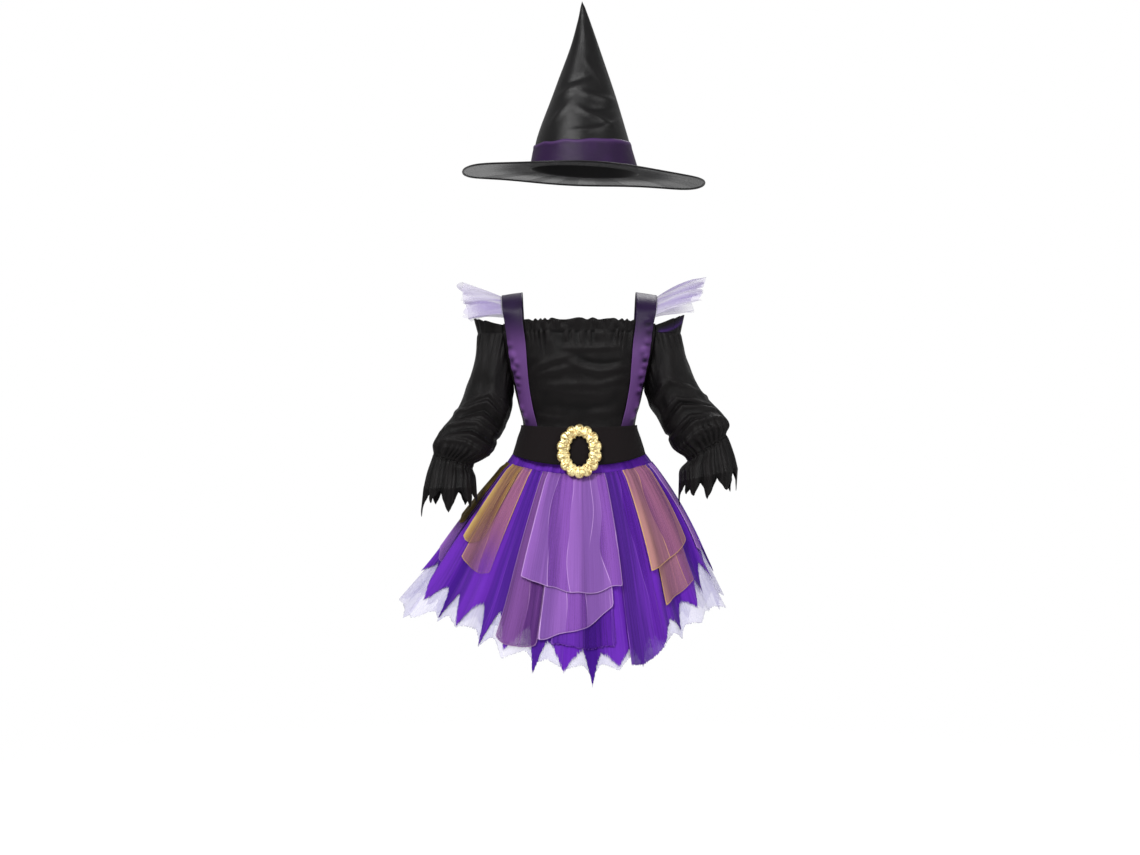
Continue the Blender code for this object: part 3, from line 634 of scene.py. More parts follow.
@dataclass
class Sheet:
    """A piece of cloth as rows of points, the hem first, and columns anticlockwise seen from above.

    Attributes:
        name: the piece's name.
        rows: its points.
        thickness: of the cloth.
        closed: whether the columns meet, as round a sleeve.
        tip: a point that closes the top.
        free_edge: whether its hem and sides are cut edges that show as lines.
        seamed: whether its sides are sewn to the next piece, so that only its hem is cut.
        tone: how far each point takes the finish's third colour, by row and column; on satin and knit that colour is
            painted highlight and sheen.
    """

    name: str
    rows: Grid
    thickness: float
    closed: bool = False
    tip: Vector | None = None
    free_edge: bool = True
    seamed: bool = False
    tone: Callable[[int, int], float] | None = None
    fold: list[list[float]] = field(default_factory=list)

    def normals(self) -> Grid:
        """Return the outward direction at each point."""
        count, last = len(self.rows[0]), len(self.rows) - 1
        made = []
        for r, row in enumerate(self.rows):
            below, above = self.rows[max(r - 1, 0)], self.rows[min(r + 1, last)]
            line = []
            for i, point in enumerate(row):
                before = row[i - 1] if self.closed or i > 0 else point
                after = row[(i + 1) % count] if self.closed or i < count - 1 else point
                line.append((after - before).cross(above[i] - below[i]).normalized())
            made.append(line)
        return made

    def raise_by(self, height: Callable[[int, int], float], scale: float = 0.002) -> "Sheet":
        """Move each point out along the sheet's own direction.

        Args:
            height: gives the distance for a row and a column.
            scale: the height that counts as a full fold in the finish.

        Returns:
            The same sheet.
        """
        normals = self.normals()
        heights = [[height(r, i) for i in range(len(row))] for r, row in enumerate(self.rows)]
        self.rows = [[point + normals[r][i] * heights[r][i] for i, point in enumerate(row)]
                     for r, row in enumerate(self.rows)]
        self.fold = [[value / scale for value in line] for line in heights]
        return self

    def lengths(self) -> list[list[float]]:
        """Return each point's length along its column, from the first row."""
        made = [[0.0] * len(self.rows[0])]
        for low, high in zip(self.rows, self.rows[1:]):
            made.append([length + (b - a).length for length, a, b in zip(made[-1], low, high)])
        return made

    def cut(self) -> tuple[float, float, float]:
        """Return the flat cloth's width, length and area."""
        width = area = 0.0
        steps = len(self.rows[0]) if self.closed else len(self.rows[0]) - 1
        count = len(self.rows[0])
        for r, row in enumerate(self.rows):
            width = max(width, sum((row[(i + 1) % count] - row[i]).length for i in range(steps)))
            if r:
                low = self.rows[r - 1]
                for i in range(steps):
                    j = (i + 1) % count
                    area += (row[j] - low[i]).cross(row[i] - low[j]).length / 2
        return width, max(self.lengths()[-1]), area

    def edge_distances(self, lengths: list[list[float]]) -> list[list[float]]:
        """Return each point's distance from the nearest cut edge, or 1 where none is free."""
        if not self.free_edge:
            return [[1.0] * len(row) for row in self.rows]
        made = []
        for row, length in zip(self.rows, lengths):
            across = [0.0]
            for here, there in zip(row, row[1:]):
                across.append(across[-1] + (there - here).length)
            side = [1.0] * len(row) if self.closed or self.seamed else [min(a, across[-1] - a) for a in across]
            made.append([min(a, b) for a, b in zip(length, side)])
        return made

    def build(self) -> bpy.types.Object:
        """Make the mesh with its own coordinates and folds, and give the cloth its thickness."""
        mesh = bpy.data.meshes.new(self.name)
        bm = bmesh.new()
        uv = bm.loops.layers.uv.new("cloth")
        mark = bm.verts.layers.float_vector.new("fold")
        count = len(self.rows[0])
        width, lengths = self.cut()[0], self.lengths()
        top = lengths[-1]
        edges = self.edge_distances(lengths)
        grid = []
        for r, row in enumerate(self.rows):
            line = []
            for i, point in enumerate(row):
                vert = bm.verts.new(point)
                fold = self.fold[r][i] if self.fold else 0.0
                vert[mark] = (fold, edges[r][i], self.tone(r, i) if self.tone else 0.0)
                line.append(vert)
            grid.append(line)
        steps = count if self.closed else count - 1
        for r in range(len(grid) - 1):
            for i in range(steps):
                j = (i + 1) % count
                face = bm.faces.new((grid[r][i], grid[r][j], grid[r + 1][j], grid[r + 1][i]))
                places = ((i, r, i), (i + 1, r, j), (i + 1, r + 1, j), (i, r + 1, i))
                for loop, (step, level, column) in zip(face.loops, places):
                    loop[uv].uv = (step / steps * width, top[column] - lengths[level][column])
        if self.tip:
            point = bm.verts.new(self.tip)
            for i in range(steps):
                face = bm.faces.new((grid[-1][i], grid[-1][(i + 1) % count], point))
                for loop, step in zip(face.loops, (i, i + 1, i)):
                    loop[uv].uv = (step / steps * width, 0.0)
        bm.to_mesh(mesh)
        bm.free()
        mesh.shade_smooth()
        piece = bpy.data.objects.new(self.name, mesh)
        bpy.context.scene.collection.objects.link(piece)
        wall = piece.modifiers.new("cloth", "SOLIDIFY")
        wall.thickness, wall.offset = self.thickness, 1.0
        return piece


class Wardrobe:
    """Dresses pieces in their finishes and ties them to the frame."""

    def __init__(self) -> None:
        """Start with no material made."""
        self.made: dict[Finish, bpy.types.Material] = {}

    def material(self, finish: Finish) -> bpy.types.Material:
        """Return a finish's material, made once."""
        if finish not in self.made:
            self.made[finish] = finish.dress()
        return self.made[finish]

    def hang(self, sheet: Sheet, node: str, finish: Finish, held: Held) -> bpy.types.Object:
        """Build a sheet in the place of its solid.

        Args:
            sheet: the cloth.
            node: the solid that it stands for.
            finish: its finish.
            held: how it is held; not used.

        Returns:
            The piece.
        """
        piece = sheet.build()
        piece.data.materials.append(self.material(finish))
        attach(piece, BODY)
        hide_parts(node)
        width, length, area = sheet.cut()
        whole = area > 0.97 * width * length
        None if whole else max(area, 0.3 * width * length)
        LOG.info("%s: %.0f x %.0f mm of cloth", sheet.name, width * 1000, length * 1000)
        return piece

    def fix(self, piece: bpy.types.Object, finish: Finish, *nodes: str) -> bpy.types.Object:
        """Dress a rigid or sewn-on piece and tie it to the frame."""
        piece.data.materials.clear()
        piece.data.materials.append(self.material(finish))
        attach(piece, BODY)
        if nodes:
            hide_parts(*nodes)
        LOG.info("%s: made", piece.name)
        return piece


def mirrored(rows: Grid) -> Grid:
    """Turn a right-hand piece into its left-hand twin."""
    return [[Vector((-p.x, p.y, p.z)) for p in reversed(row)] for row in rows]


def on_side(side: Side, rows: Grid) -> Grid:
    """Keep a piece on the right, or mirror it to the left."""
    return mirrored(rows) if side is Side.LEFT else rows


@dataclass
class TorsoForm:
    """The shape under the bodice: a squared ellipse at each height."""

    squareness: float = 2.6
    waist_side_z: float = -0.262
    waist_front_z: float = -0.279
    belt_side_z: float = -0.215
    belt_front_z: float = -0.219
    neck_z: float = -0.064
    underarm_z: float = -0.156
    armhole_angle: float = math.radians(27)
    rows: tuple[TorsoRow, ...] = (
        TorsoRow(-0.300, 0.1140, 0.0880), TorsoRow(-0.262, 0.1045, 0.0810),
        TorsoRow(-0.238, 0.0972, 0.0757), TorsoRow(-0.215, 0.0910, 0.0710),
        TorsoRow(-0.175, 0.1005, 0.0750), TorsoRow(-0.150, 0.1070, 0.0780),
        TorsoRow(-0.110, 0.1230, 0.0800), TorsoRow(-0.066, 0.1340, 0.0780),
        TorsoRow(-0.030, 0.1330, 0.0775))

    def waist_z(self, angle: float) -> float:
        """Return the height of the waist seam."""
        return self.waist_front_z + (self.waist_side_z - self.waist_front_z) * math.sin(angle) ** 2

    def belt_top_z(self, angle: float) -> float:
        """Return the height of the belt's top edge."""
        return self.belt_front_z + (self.belt_side_z - self.belt_front_z) * math.sin(angle) ** 2

    def point(self, angle: float, z: float, out: float = 0.0) -> Vector:
        """Return a point on the form, moved out by a distance."""
        size = read_rows(self.rows, z)
        side = signed_power(math.sin(angle), 2 / self.squareness)
        front = signed_power(math.cos(angle), 2 / self.squareness)
        normal = Vector((signed_power(side, self.squareness - 1) / size.half_width,
                         -signed_power(front, self.squareness - 1) / size.half_depth, 0.0)).normalized()
        return Vector((side * size.half_width, -front * size.half_depth, z)) + normal * out

    def angle_across(self, x: float, z: float) -> float:
        """Return the angle whose point lies x from the middle."""
        share = min(abs(x) / read_rows(self.rows, z).half_width, 1.0)
        return math.copysign(math.asin(share ** (self.squareness / 2)), x)

    def armhole_edge(self, z: float) -> float:
        """Return the angle of the bodice's side edge; it is cut away above the underarm."""
        down = min(max((self.neck_z - z) / (self.neck_z - self.underarm_z), 0.0), 1.0)
        return math.pi / 2 - self.armhole_angle * math.sqrt(1 - down * down)


TORSO = TorsoForm()


@dataclass
class Bodice:
    """The stretch top: front and back, gathered on elastic below a small frill."""

    columns: int = 200
    rows_up: int = 76
    frill_rows: int = 10
    frill_height: float = 0.021
    frill_dip: float = 0.009
    frill_wave: float = 0.0030
    thickness: float = 0.0009
    gathers: int = 24
    creases: tuple[Crease, ...] = (
        Crease(0.018, -0.091, 0.055, 0.0042, 0.0016, 0.02, 0.002),
        Crease(0.030, -0.128, 0.055, 0.0050, 0.0022, -0.06, 0.016),
        Crease(0.034, -0.116, 0.048, 0.0040, -0.0013, -0.05, 0.014),
        Crease(-0.044, -0.112, 0.034, 0.0050, 0.0017, 0.36, -0.002),
        Crease(-0.040, -0.128, 0.036, 0.0046, 0.0012, 0.24, 0.001),
        Crease(-0.012, -0.150, 0.060, 0.0060, 0.0013, 0.02, -0.006),
        Crease(0.048, -0.146, 0.040, 0.0045, 0.0014, 0.26, 0.006),
        Crease(0.010, -0.168, 0.055, 0.0080, 0.0010, -0.06, 0.008),
        Crease(-0.048, -0.203, 0.026, 0.0040, 0.0010, -0.12, 0.002),
        Crease(0.040, -0.196, 0.030, 0.0060, 0.0009, 0.10, 0.004),
        Crease(0.000, -0.186, 0.070, 0.0070, -0.0006, 0.00, 0.012))
    back_creases: tuple[Crease, ...] = (
        Crease(-0.020, -0.096, 0.052, 0.0046, 0.0015, -0.04, 0.004),
        Crease(0.030, -0.118, 0.050, 0.0055, 0.0016, 0.12, 0.010),
        Crease(-0.034, -0.134, 0.050, 0.0050, 0.0014, -0.10, 0.008),
        Crease(0.008, -0.160, 0.062, 0.0070, 0.0012, 0.04, 0.008),
        Crease(-0.026, -0.190, 0.046, 0.0060, 0.0010, 0.10, 0.004))

    def height(self, across: float, along: float, z: float, creases: tuple[Crease, ...], seed: float) -> float:
        """Return how far the knit stands out: its drape creases, and the gathers under the elastic."""
        down = TORSO.neck_z - z
        lay = 0.45 + 0.55 * ease(abs(abs(along) - 0.092), 0.016, 0.034)
        height = 1.7 * crease_height(creases, along, z) * lay
        wave = math.sin(math.pi * (self.gathers * across + 1.6 * ripple(across * 5, seed)))
        reach = 0.034 + 0.022 * ripple(across * 9, seed + 2)
        height += 0.0024 * lay * wave * (1 - ease(down, 0.0, max(reach, 0.010)))
        height += 0.0004 * ripple(along * 60, z * 70 + seed)
        height -= 0.0005 * math.exp(-(down / 0.0022) ** 2)
        return height * ease(z, -0.222, -0.206)

    def sheet(self, name: str, turn: float, creases: tuple[Crease, ...]) -> Sheet:
        """Make one half of the bodice, with its frill."""
        places = [2 * i / self.columns - 1 for i in range(self.columns + 1)]
        inset = -0.008
        columns, marks = [], []
        for across in places:
            foot = TORSO.waist_z(across * math.pi / 2)
            heights = [foot + (TORSO.neck_z - foot) * r / self.rows_up for r in range(self.rows_up + 1)]
            column = [TORSO.point(across * (TORSO.armhole_edge(z) - inset) + turn, z) for z in heights]
            mark = [(across, z) for z in heights]
            for r in range(1, self.frill_rows + 1):
                lift = r / self.frill_rows
                lump = 0.0016 * math.sin(2 * math.pi * (7.5 * across + 0.8 * ripple(across * 4, turn + 1)))
                z = TORSO.neck_z + lift * (self.frill_height - self.frill_dip * across * across + lump)
                column.append(TORSO.point(across * (TORSO.armhole_edge(TORSO.neck_z) - inset) + turn, z))
                mark.append((across, z))
            columns.append(column)
            marks.append(mark)
        rows = [list(row) for row in zip(*columns)]
        facing = 1 if turn == 0 else -1

        def height(r: int, i: int) -> float:
            across, z = marks[i][r]
            if r <= self.rows_up:
                    return self.height(across, rows[r][i].x * facing, z, creases, turn)
            lift = (r - self.rows_up) / self.frill_rows
            fade = max(0.0, 1 - (abs(across) / 0.66) ** 6)
            wave = 0.5 + 0.5 * math.sin(2 * math.pi * (15 * across + 1.3 * ripple(across * 6, turn + 5)))
            curl = 0.0012 * math.sin(2 * math.pi * lift) * ripple(across * 14, 3.0)
            return (self.frill_wave * wave * lift ** 0.8 + curl) * fade
        return Sheet(name, rows, self.thickness, free_edge=False).raise_by(height, 0.0013)

    def make(self, wardrobe: Wardrobe) -> None:
        """Make the front and the back."""
        wardrobe.hang(self.sheet("bodice_front_cloth", 0.0, self.creases),
                      "bodice_front", BLACK_JERSEY, Held.GATHERED)
        wardrobe.hang(self.sheet("bodice_back_cloth", math.pi, self.back_creases),
                      "bodice_back", BLACK_JERSEY, Held.GATHERED)


@dataclass
class Straps:
    """The two satin straps, from the belt's front over the shoulder to its back."""

    across: int = 28
    along: int = 300
    thickness: float = 0.0006
    on_torso: tuple[StrapRow, ...] = (
        StrapRow(-0.2180, 0.0768, 0.0132, 0.0013), StrapRow(-0.2130, 0.0780, 0.0140, 0.0022),
        StrapRow(-0.1850, 0.0850, 0.0150, 0.0026), StrapRow(-0.1500, 0.0925, 0.0160, 0.0026),
        StrapRow(-0.1150, 0.0980, 0.0165, 0.0026), StrapRow(-0.0850, 0.1010, 0.0165, 0.0034),
        StrapRow(-0.0500, 0.1050, 0.0165, 0.0046))
    on_shoulder: tuple[ShoulderRow, ...] = (
        ShoulderRow(-0.0270, 0.1085, 0.0160, 0.0570, 0.0130, 0.0040),
        ShoulderRow(-0.0090, 0.1095, 0.0166, 0.0350, 0.0060, 0.0050),
        ShoulderRow(0.0000, 0.1100, 0.0170, 0.0000, 0.0000, 0.0050))

    puckers: dict[Side, tuple[Pucker, ...]] = field(default_factory=lambda: {
        Side.LEFT: (
            Pucker(-0.106, 0.55, 0.0060, 1.0), Pucker(-0.116, 0.30, 0.0048, 0.9), Pucker(-0.126, 0.60, 0.0056, 1.0),
            Pucker(-0.136, 0.34, 0.0040, 0.8), Pucker(-0.148, 0.55, 0.0044, 0.7), Pucker(-0.158, 0.66, 0.0040, 0.5),
            Pucker(-0.086, 0.80, 0.0040, 0.4), Pucker(-0.190, 0.72, 0.0052, 0.6), Pucker(-0.204, 0.50, 0.0060, 0.8)),
        Side.RIGHT: (
            Pucker(-0.048, 0.34, 0.0050, 0.8), Pucker(-0.062, 0.62, 0.0046, 0.5), Pucker(-0.082, 0.56, 0.0044, 0.6),
            Pucker(-0.096, 0.30, 0.0056, 0.9), Pucker(-0.106, 0.50, 0.0058, 1.0), Pucker(-0.120, 0.60, 0.0044, 0.7),
            Pucker(-0.134, 0.40, 0.0056, 1.0), Pucker(-0.146, 0.62, 0.0050, 0.9), Pucker(-0.160, 0.50, 0.0044, 0.7),
            Pucker(-0.186, 0.70, 0.0050, 0.5), Pucker(-0.205, 0.55, 0.0056, 0.7))})

    def pull(self, side: Side, across: float, z: float) -> float:
        """Return how strongly the puckers pull the satin at a place, -1 to 1."""
        total = 0.0
        for pucker in self.puckers[side]:
            along, off = (z - pucker.z) / (1.25 * pucker.size), (across - pucker.across) / 0.42
            if abs(along) < 3:
                total += pucker.depth * math.exp(-off * off) * math.sin(1.6 * along) * math.exp(-along * along / 1.6)
        return total

    def torso_line(self, row: StrapRow, facing: int, across: float) -> Vector:
        """Return a point across the strap where it lies on the torso."""
        middle = TORSO.angle_across(row.centre, row.z)
        step = math.radians(1)
        rate = (TORSO.point(middle + step, row.z) - TORSO.point(middle - step, row.z)).length / (2 * step)
        point = TORSO.point(middle + across * row.half_width / rate, row.z, row.out)
        return Vector((point.x, point.y * facing, point.z))

    def shoulder_line(self, row: ShoulderRow, facing: int, across: float) -> Vector:
        """Return a point across the strap where it bridges the shoulder."""
        y = -(row.y - across * row.outer_back / 2) * facing
        return Vector((row.centre + across * row.half_width, y, row.z - across * row.outer_drop / 2))

    def sheet(self, side: Side, seed: float) -> Sheet:
        """Make one strap with the puckers along its outer edge."""
        columns = []
        for k in range(self.across + 1):
            across = 2 * k / self.across - 1
            stops = [self.torso_line(row, 1, across) for row in self.on_torso]
            stops += [self.shoulder_line(row, 1, across) for row in self.on_shoulder]
            stops += [self.shoulder_line(row, -1, across) for row in self.on_shoulder[-2::-1]]
            stops += [self.torso_line(row, -1, across) for row in self.on_torso[::-1]]
            columns.append(curve_through(stops, self.along + 1))
        rows = on_side(side, [list(row) for row in zip(*columns)])
        outward = 1 if side is Side.RIGHT else -1
        marks = [[Vector(point) for point in row] for row in rows]

        def height(r: int, i: int) -> float:
            across = outward * (2 * i / self.across - 1)
            z = marks[r][i].z
            free = ease(z, -0.214, -0.200)
            hem = 0.0003 * (math.exp(-((abs(across) - 0.90) / 0.06) ** 2))
            swell = 0.0004 * (1 - across * across)
            pulled = 0.0028 * max(self.pull(side, across, z), -0.3)
            return free * (pulled + swell + 0.0005 * ripple(z * 30, seed + 4)) + hem
        sheet = Sheet(f"strap_{side.value}_cloth", rows, self.thickness, free_edge=False)

        # Painted light on the satin: a painted sheen lighter lower down and dark near the shoulder, with painted shade
        # in the puckers, towards the outer edge and at the foot.
        def tone(r: int, i: int) -> float:
            across = outward * (2 * i / self.across - 1)
            z = marks[r][i].z
            light = 1 - ease(z, -0.104, -0.036)
            pull = min(max(0.85 + 1.5 * self.pull(side, across, z), 0.04), 1.15)
            shaded = 1 - 0.55 * ease(across, 0.25, 0.95) * (0.6 + 0.4 * ripple(z * 36, seed))
            foot = 0.45 + 0.55 * ease(z, -0.216, -0.186)
            return 0.66 * light * pull * shaded * foot
        sheet.tone = tone
        return sheet.raise_by(height, 0.0016)

    def make(self, wardrobe: Wardrobe) -> None:
        """Make both straps."""
        for side, seed in ((Side.LEFT, 1.7), (Side.RIGHT, 6.2)):
            wardrobe.hang(self.sheet(side, seed), f"strap_{side.value}", STRAP_SATIN, Held.STRETCHED)


@dataclass
class ShoulderNets:
    """The pale net frills that fan out from the straps' outer edges."""

    columns: int = 120
    rows_out: int = 28
    waves: float = 3.0
    wave_height: float = 0.0065
    root_x: float = 0.1278
    root_length: float = 0.056
    thickness: float = 0.0004
    reach: tuple[float, float] = (0.1930, 0.2020)
    top_z: tuple[float, float] = (0.0090, 0.0220)
    end_z: tuple[float, float] = (-0.0500, -0.0260)
    front_back: float = 0.078

    def sheet(self, side: Side) -> Sheet:
        """Make one net frill, from its outer edge in to the strap."""
        k = 0 if side is Side.LEFT else 1
        rows, fold = [], []
        for step in range(self.rows_out, -1, -1):
            out = step / self.rows_out
            row, line = [], []
            for i in range(self.columns + 1):
                along = 2 * i / self.columns - 1
                square = along * along
                inner = Vector((self.root_x - 0.0025 * square, self.root_length * along,
                                -0.004 - 0.032 * square))
                edge_z = self.top_z[k] + (self.end_z[k] - self.top_z[k]) * square
                tatter = 0.007 * ripple(along * 8, 8.0 + k)
                outer = Vector((self.reach[k] - 0.012 * square + tatter, self.front_back * along, edge_z))
                big = math.cos(2 * math.pi * self.waves * along)
                small = math.sin(2 * math.pi * (5 * along + ripple(along * 3, 2.0 + k)))
                loose = ripple(along * 4 + out, 5.0 + 3 * k)
                wave = (self.wave_height * big + 0.0028 * small + 0.0050 * loose) * out
                point = inner.lerp(outer, out)
                point.z += wave + 0.010 * out * (1 - out)
                row.append(point)
                line.append(0.6 * small + 0.4 * big)
            rows.append(row)
            fold.append(line)
        if side is Side.LEFT:
            fold = [list(reversed(line)) for line in fold]
        sheet = Sheet(f"shoulder_net_{side.value}_cloth", on_side(side, rows), self.thickness)
        sheet.fold = fold

        def tone(r: int, i: int) -> float:
            out = 1 - r / self.rows_out
            return -0.36 * ease(out, 0.40, 1.0) * (0.7 + 0.3 * ripple(i / 9, 4.0 + k))
        sheet.tone = tone
        return sheet

    def make(self, wardrobe: Wardrobe) -> None:
        """Make both nets."""
        for side in Side:
            wardrobe.hang(self.sheet(side), f"shoulder_net_{side.value}", SHOULDER_NET, Held.GATHERED)


@dataclass
class Sleeves:
    """The puffed sleeves with their neck frills, elbow gathers and pointed cuffs."""

    columns: int = 144
    rows_down: int = 96
    top_out: float = 0.166
    band: float = 0.005
    seam: float = 0.0008
    wall: float = 0.0015
    thickness: float = 0.0009
    rings: dict[Side, tuple[Ring, ...]] = field(default_factory=lambda: {
        Side.LEFT: (
            Ring(0.1700, -0.1010, 0.1100, -0.1690, 0.054, 0.000),
            Ring(0.1810, -0.1430, 0.1120, -0.1880, 0.052, -0.004),
            Ring(0.1960, -0.1860, 0.1180, -0.2070, 0.050, -0.012),
            Ring(0.2240, -0.2230, 0.1320, -0.2370, 0.048, -0.024),
            Ring(0.2370, -0.2460, 0.1460, -0.2620, 0.043, -0.034),
            Ring(0.2350, -0.2590, 0.1720, -0.2760, 0.030, -0.040)),
        Side.RIGHT: (
            Ring(0.1740, -0.0980, 0.1110, -0.1670, 0.054, 0.000),
            Ring(0.1900, -0.1420, 0.1180, -0.1850, 0.052, -0.004),
            Ring(0.2120, -0.1740, 0.1300, -0.2050, 0.050, -0.012),
            Ring(0.2350, -0.1990, 0.1430, -0.2310, 0.048, -0.022),
            Ring(0.2430, -0.2150, 0.1530, -0.2520, 0.043, -0.030),
            Ring(0.2370, -0.2290, 0.1730, -0.2650, 0.030, -0.036))})
    cuffs: dict[Side, tuple[Ring, Ring]] = field(default_factory=lambda: {
        Side.LEFT: (Ring(0.2450, -0.2930, 0.1700, -0.2980, 0.034, -0.046),
                    Ring(0.2500, -0.3180, 0.1690, -0.3150, 0.037, -0.050)),
        Side.RIGHT: (Ring(0.2510, -0.2620, 0.1660, -0.2890, 0.034, -0.040),
                     Ring(0.2560, -0.2860, 0.1650, -0.3060, 0.037, -0.044))})
    points: tuple[float, ...] = (0.040, 0.031, 0.036, 0.028, 0.034, 0.030, 0.038, 0.026)
    petals: tuple[float, ...] = (1.00, 1.35, 0.95, 1.20, 1.00, 1.45, 0.95, 1.20)
    creases: dict[Side, tuple[Crease, ...]] = field(default_factory=lambda: {
        Side.LEFT: (
            Crease(0.74, 0.44, 0.22, 0.022, 0.0020, 0.62, 0.02), Crease(0.78, 0.53, 0.23, 0.020, 0.0026, 0.70, 0.02),
            Crease(0.72, 0.61, 0.22, 0.020, 0.0026, 0.60, 0.03), Crease(0.79, 0.69, 0.22, 0.019, 0.0028, 0.50, 0.04),
            Crease(0.70, 0.76, 0.22, 0.018, 0.0028, 0.42, 0.04), Crease(0.77, 0.84, 0.20, 0.017, 0.0024, 0.26, 0.04),
            Crease(0.66, 0.34, 0.16, 0.028, 0.0015, 0.70, 0.02), Crease(0.75, 0.57, 0.20, 0.014, -0.0018, 0.66, 0.02),
            Crease(0.74, 0.73, 0.20, 0.013, -0.0018, 0.46, 0.03), Crease(0.30, 0.50, 0.20, 0.026, 0.0022, -0.50, 0.03),
            Crease(0.26, 0.66, 0.20, 0.022, 0.0024, -0.30, 0.04), Crease(0.34, 0.80, 0.18, 0.020, 0.0022, -0.20, 0.03),
            Crease(0.50, 0.60, 0.14, 0.026, -0.0018, 0.10, 0.02), Crease(0.98, 0.62, 0.16, 0.026, 0.0016, 0.30, 0.02)),
        Side.RIGHT: (
            Crease(0.76, 0.40, 0.24, 0.026, 0.0020, 0.80, 0.00), Crease(0.74, 0.54, 0.23, 0.022, 0.0026, 0.66, 0.02),
            Crease(0.77, 0.63, 0.22, 0.019, 0.0028, 0.46, 0.05), Crease(0.71, 0.71, 0.22, 0.018, 0.0028, 0.30, 0.05),
            Crease(0.79, 0.78, 0.20, 0.016, 0.0026, 0.20, 0.04), Crease(0.72, 0.85, 0.20, 0.016, 0.0024, 0.05, 0.03),
            Crease(0.64, 0.30, 0.14, 0.030, 0.0014, 0.50, 0.02), Crease(0.75, 0.58, 0.20, 0.013, -0.0018, 0.56, 0.03),
            Crease(0.76, 0.745, 0.18, 0.012, -0.0018, 0.26, 0.04), Crease(0.28, 0.46, 0.20, 0.026, 0.0020, -0.40, 0.03),
            Crease(0.32, 0.62, 0.20, 0.022, 0.0024, -0.30, 0.04), Crease(0.24, 0.78, 0.18, 0.020, 0.0022, -0.10, 0.03),
            Crease(0.52, 0.64, 0.14, 0.026, -0.0018, 0.10, 0.02), Crease(0.02, 0.58, 0.16, 0.026, 0.0016, 0.30, 0.02))})

    def corner(self) -> Vector:
        """Return the front corner where neck edge and armhole meet."""
        point = TORSO.point(TORSO.armhole_edge(TORSO.neck_z), TORSO.neck_z)
        return Vector((point.x + self.wall, point.y, point.z))

    def ring_point(self, ring: Ring, turn: float) -> Vector:
        """Return a point of a ring, from the outside backwards."""
        out = math.cos(turn)
        return Vector(((ring.outer_x + ring.inner_x) / 2 + (ring.outer_x - ring.inner_x) / 2 * out,
                       ring.y + ring.depth * math.sin(turn),
                       (ring.outer_z + ring.inner_z) / 2 + (ring.outer_z - ring.inner_z) / 2 * out))

    def top_point(self, turn: float) -> Vector:
        """Return a point of the sleeve's top: the neck edge outside, the armhole inside."""
        corner, out = self.corner(), math.cos(turn)
        if out >= 0:
            return Vector((corner.x + (self.top_out - corner.x) * out, -corner.y * math.sin(turn), TORSO.neck_z))
        z = TORSO.neck_z - (TORSO.neck_z - TORSO.underarm_z) * -out
        point = TORSO.point(TORSO.armhole_edge(z), z)
        side = math.copysign(1.0, math.sin(turn)) if abs(math.sin(turn)) > 1e-6 else 0.0
        return Vector((point.x + self.wall + 0.0012 * -out, -point.y * side, z))

    def down_arm(self, ring: Ring, along: float) -> Ring:
        """Return a ring moved down the arm by a distance."""
        tilt = math.atan2(ring.outer_z - ring.inner_z, ring.outer_x - ring.inner_x)
        side, down = along * math.sin(tilt), -along * math.cos(tilt)
        return ring._replace(outer_x=ring.outer_x + side, inner_x=ring.inner_x + side,
                             outer_z=ring.outer_z + down, inner_z=ring.inner_z + down)

    def sleeve(self, side: Side) -> Sheet:
        """Make one sleeve, from its gather up to the armhole."""
        rings = self.rings[side]
        lowest = self.down_arm(rings[-1], self.band)
        columns = []
        for i in range(self.columns):
            turn = 2 * math.pi * i / self.columns
            stops = [self.ring_point(ring, turn) for ring in (lowest, *reversed(rings))]
            columns.append(curve_through([*stops, self.top_point(turn)], self.rows_down + 1))
        rows = on_side(side, [list(row) for row in zip(*columns)])
        creases, seed = self.creases[side], 3.0 if side is Side.LEFT else 11.0

        def height(r: int, i: int) -> float:
            down = 1 - r / self.rows_down
            around = i / self.columns
            if side is Side.LEFT:
                around = 1 - (i + 1) / self.columns
            circle = Vector((math.cos(2 * math.pi * around), math.sin(2 * math.pi * around)))
            uneven = 1.9 * noise.noise(Vector((circle.x * 1.7, circle.y * 1.7, seed)))
            elbow = math.sin(2 * math.pi * (28 * around + 0.6 * uneven))
            neck = math.sin(2 * math.pi * (24 * around + 0.5 * uneven))
            reach = 0.70 + 0.10 * uneven
            lift = 0.0019 * elbow * ease(down, reach, 0.95) * (1 - 0.6 * ease(down, 0.965, 1.0))
            lift += 0.0011 * neck * (1 - ease(down, 0.0, 0.22 + 0.07 * uneven)) * ease(down, 0.0, 0.03)
            lift += 1.6 * crease_height(creases, around, down) * ease(down, 0.04, 0.16)
            spot = Vector((circle.x * 2.4, circle.y * 2.4, down * 7 + seed))
            lift += 0.0022 * noise.noise(spot) * ease(down, 0.05, 0.2) * (1 - ease(down, 0.93, 0.98))
            return lift
        sheet = Sheet(f"sleeve_{side.value}_cloth", rows, self.thickness, closed=True, free_edge=False)
        return sheet.raise_by(height, 0.0024)

    def petal_place(self, turn: float, seed: float) -> float:
        """Return where a turn round the arm falls among the cuff's points, which are unevenly wide."""
        return (turn / (2 * math.pi) * len(self.points) + 0.11 * math.sin(3 * turn + seed)
                + 0.12 * math.sin(2 * turn + 2 * seed))

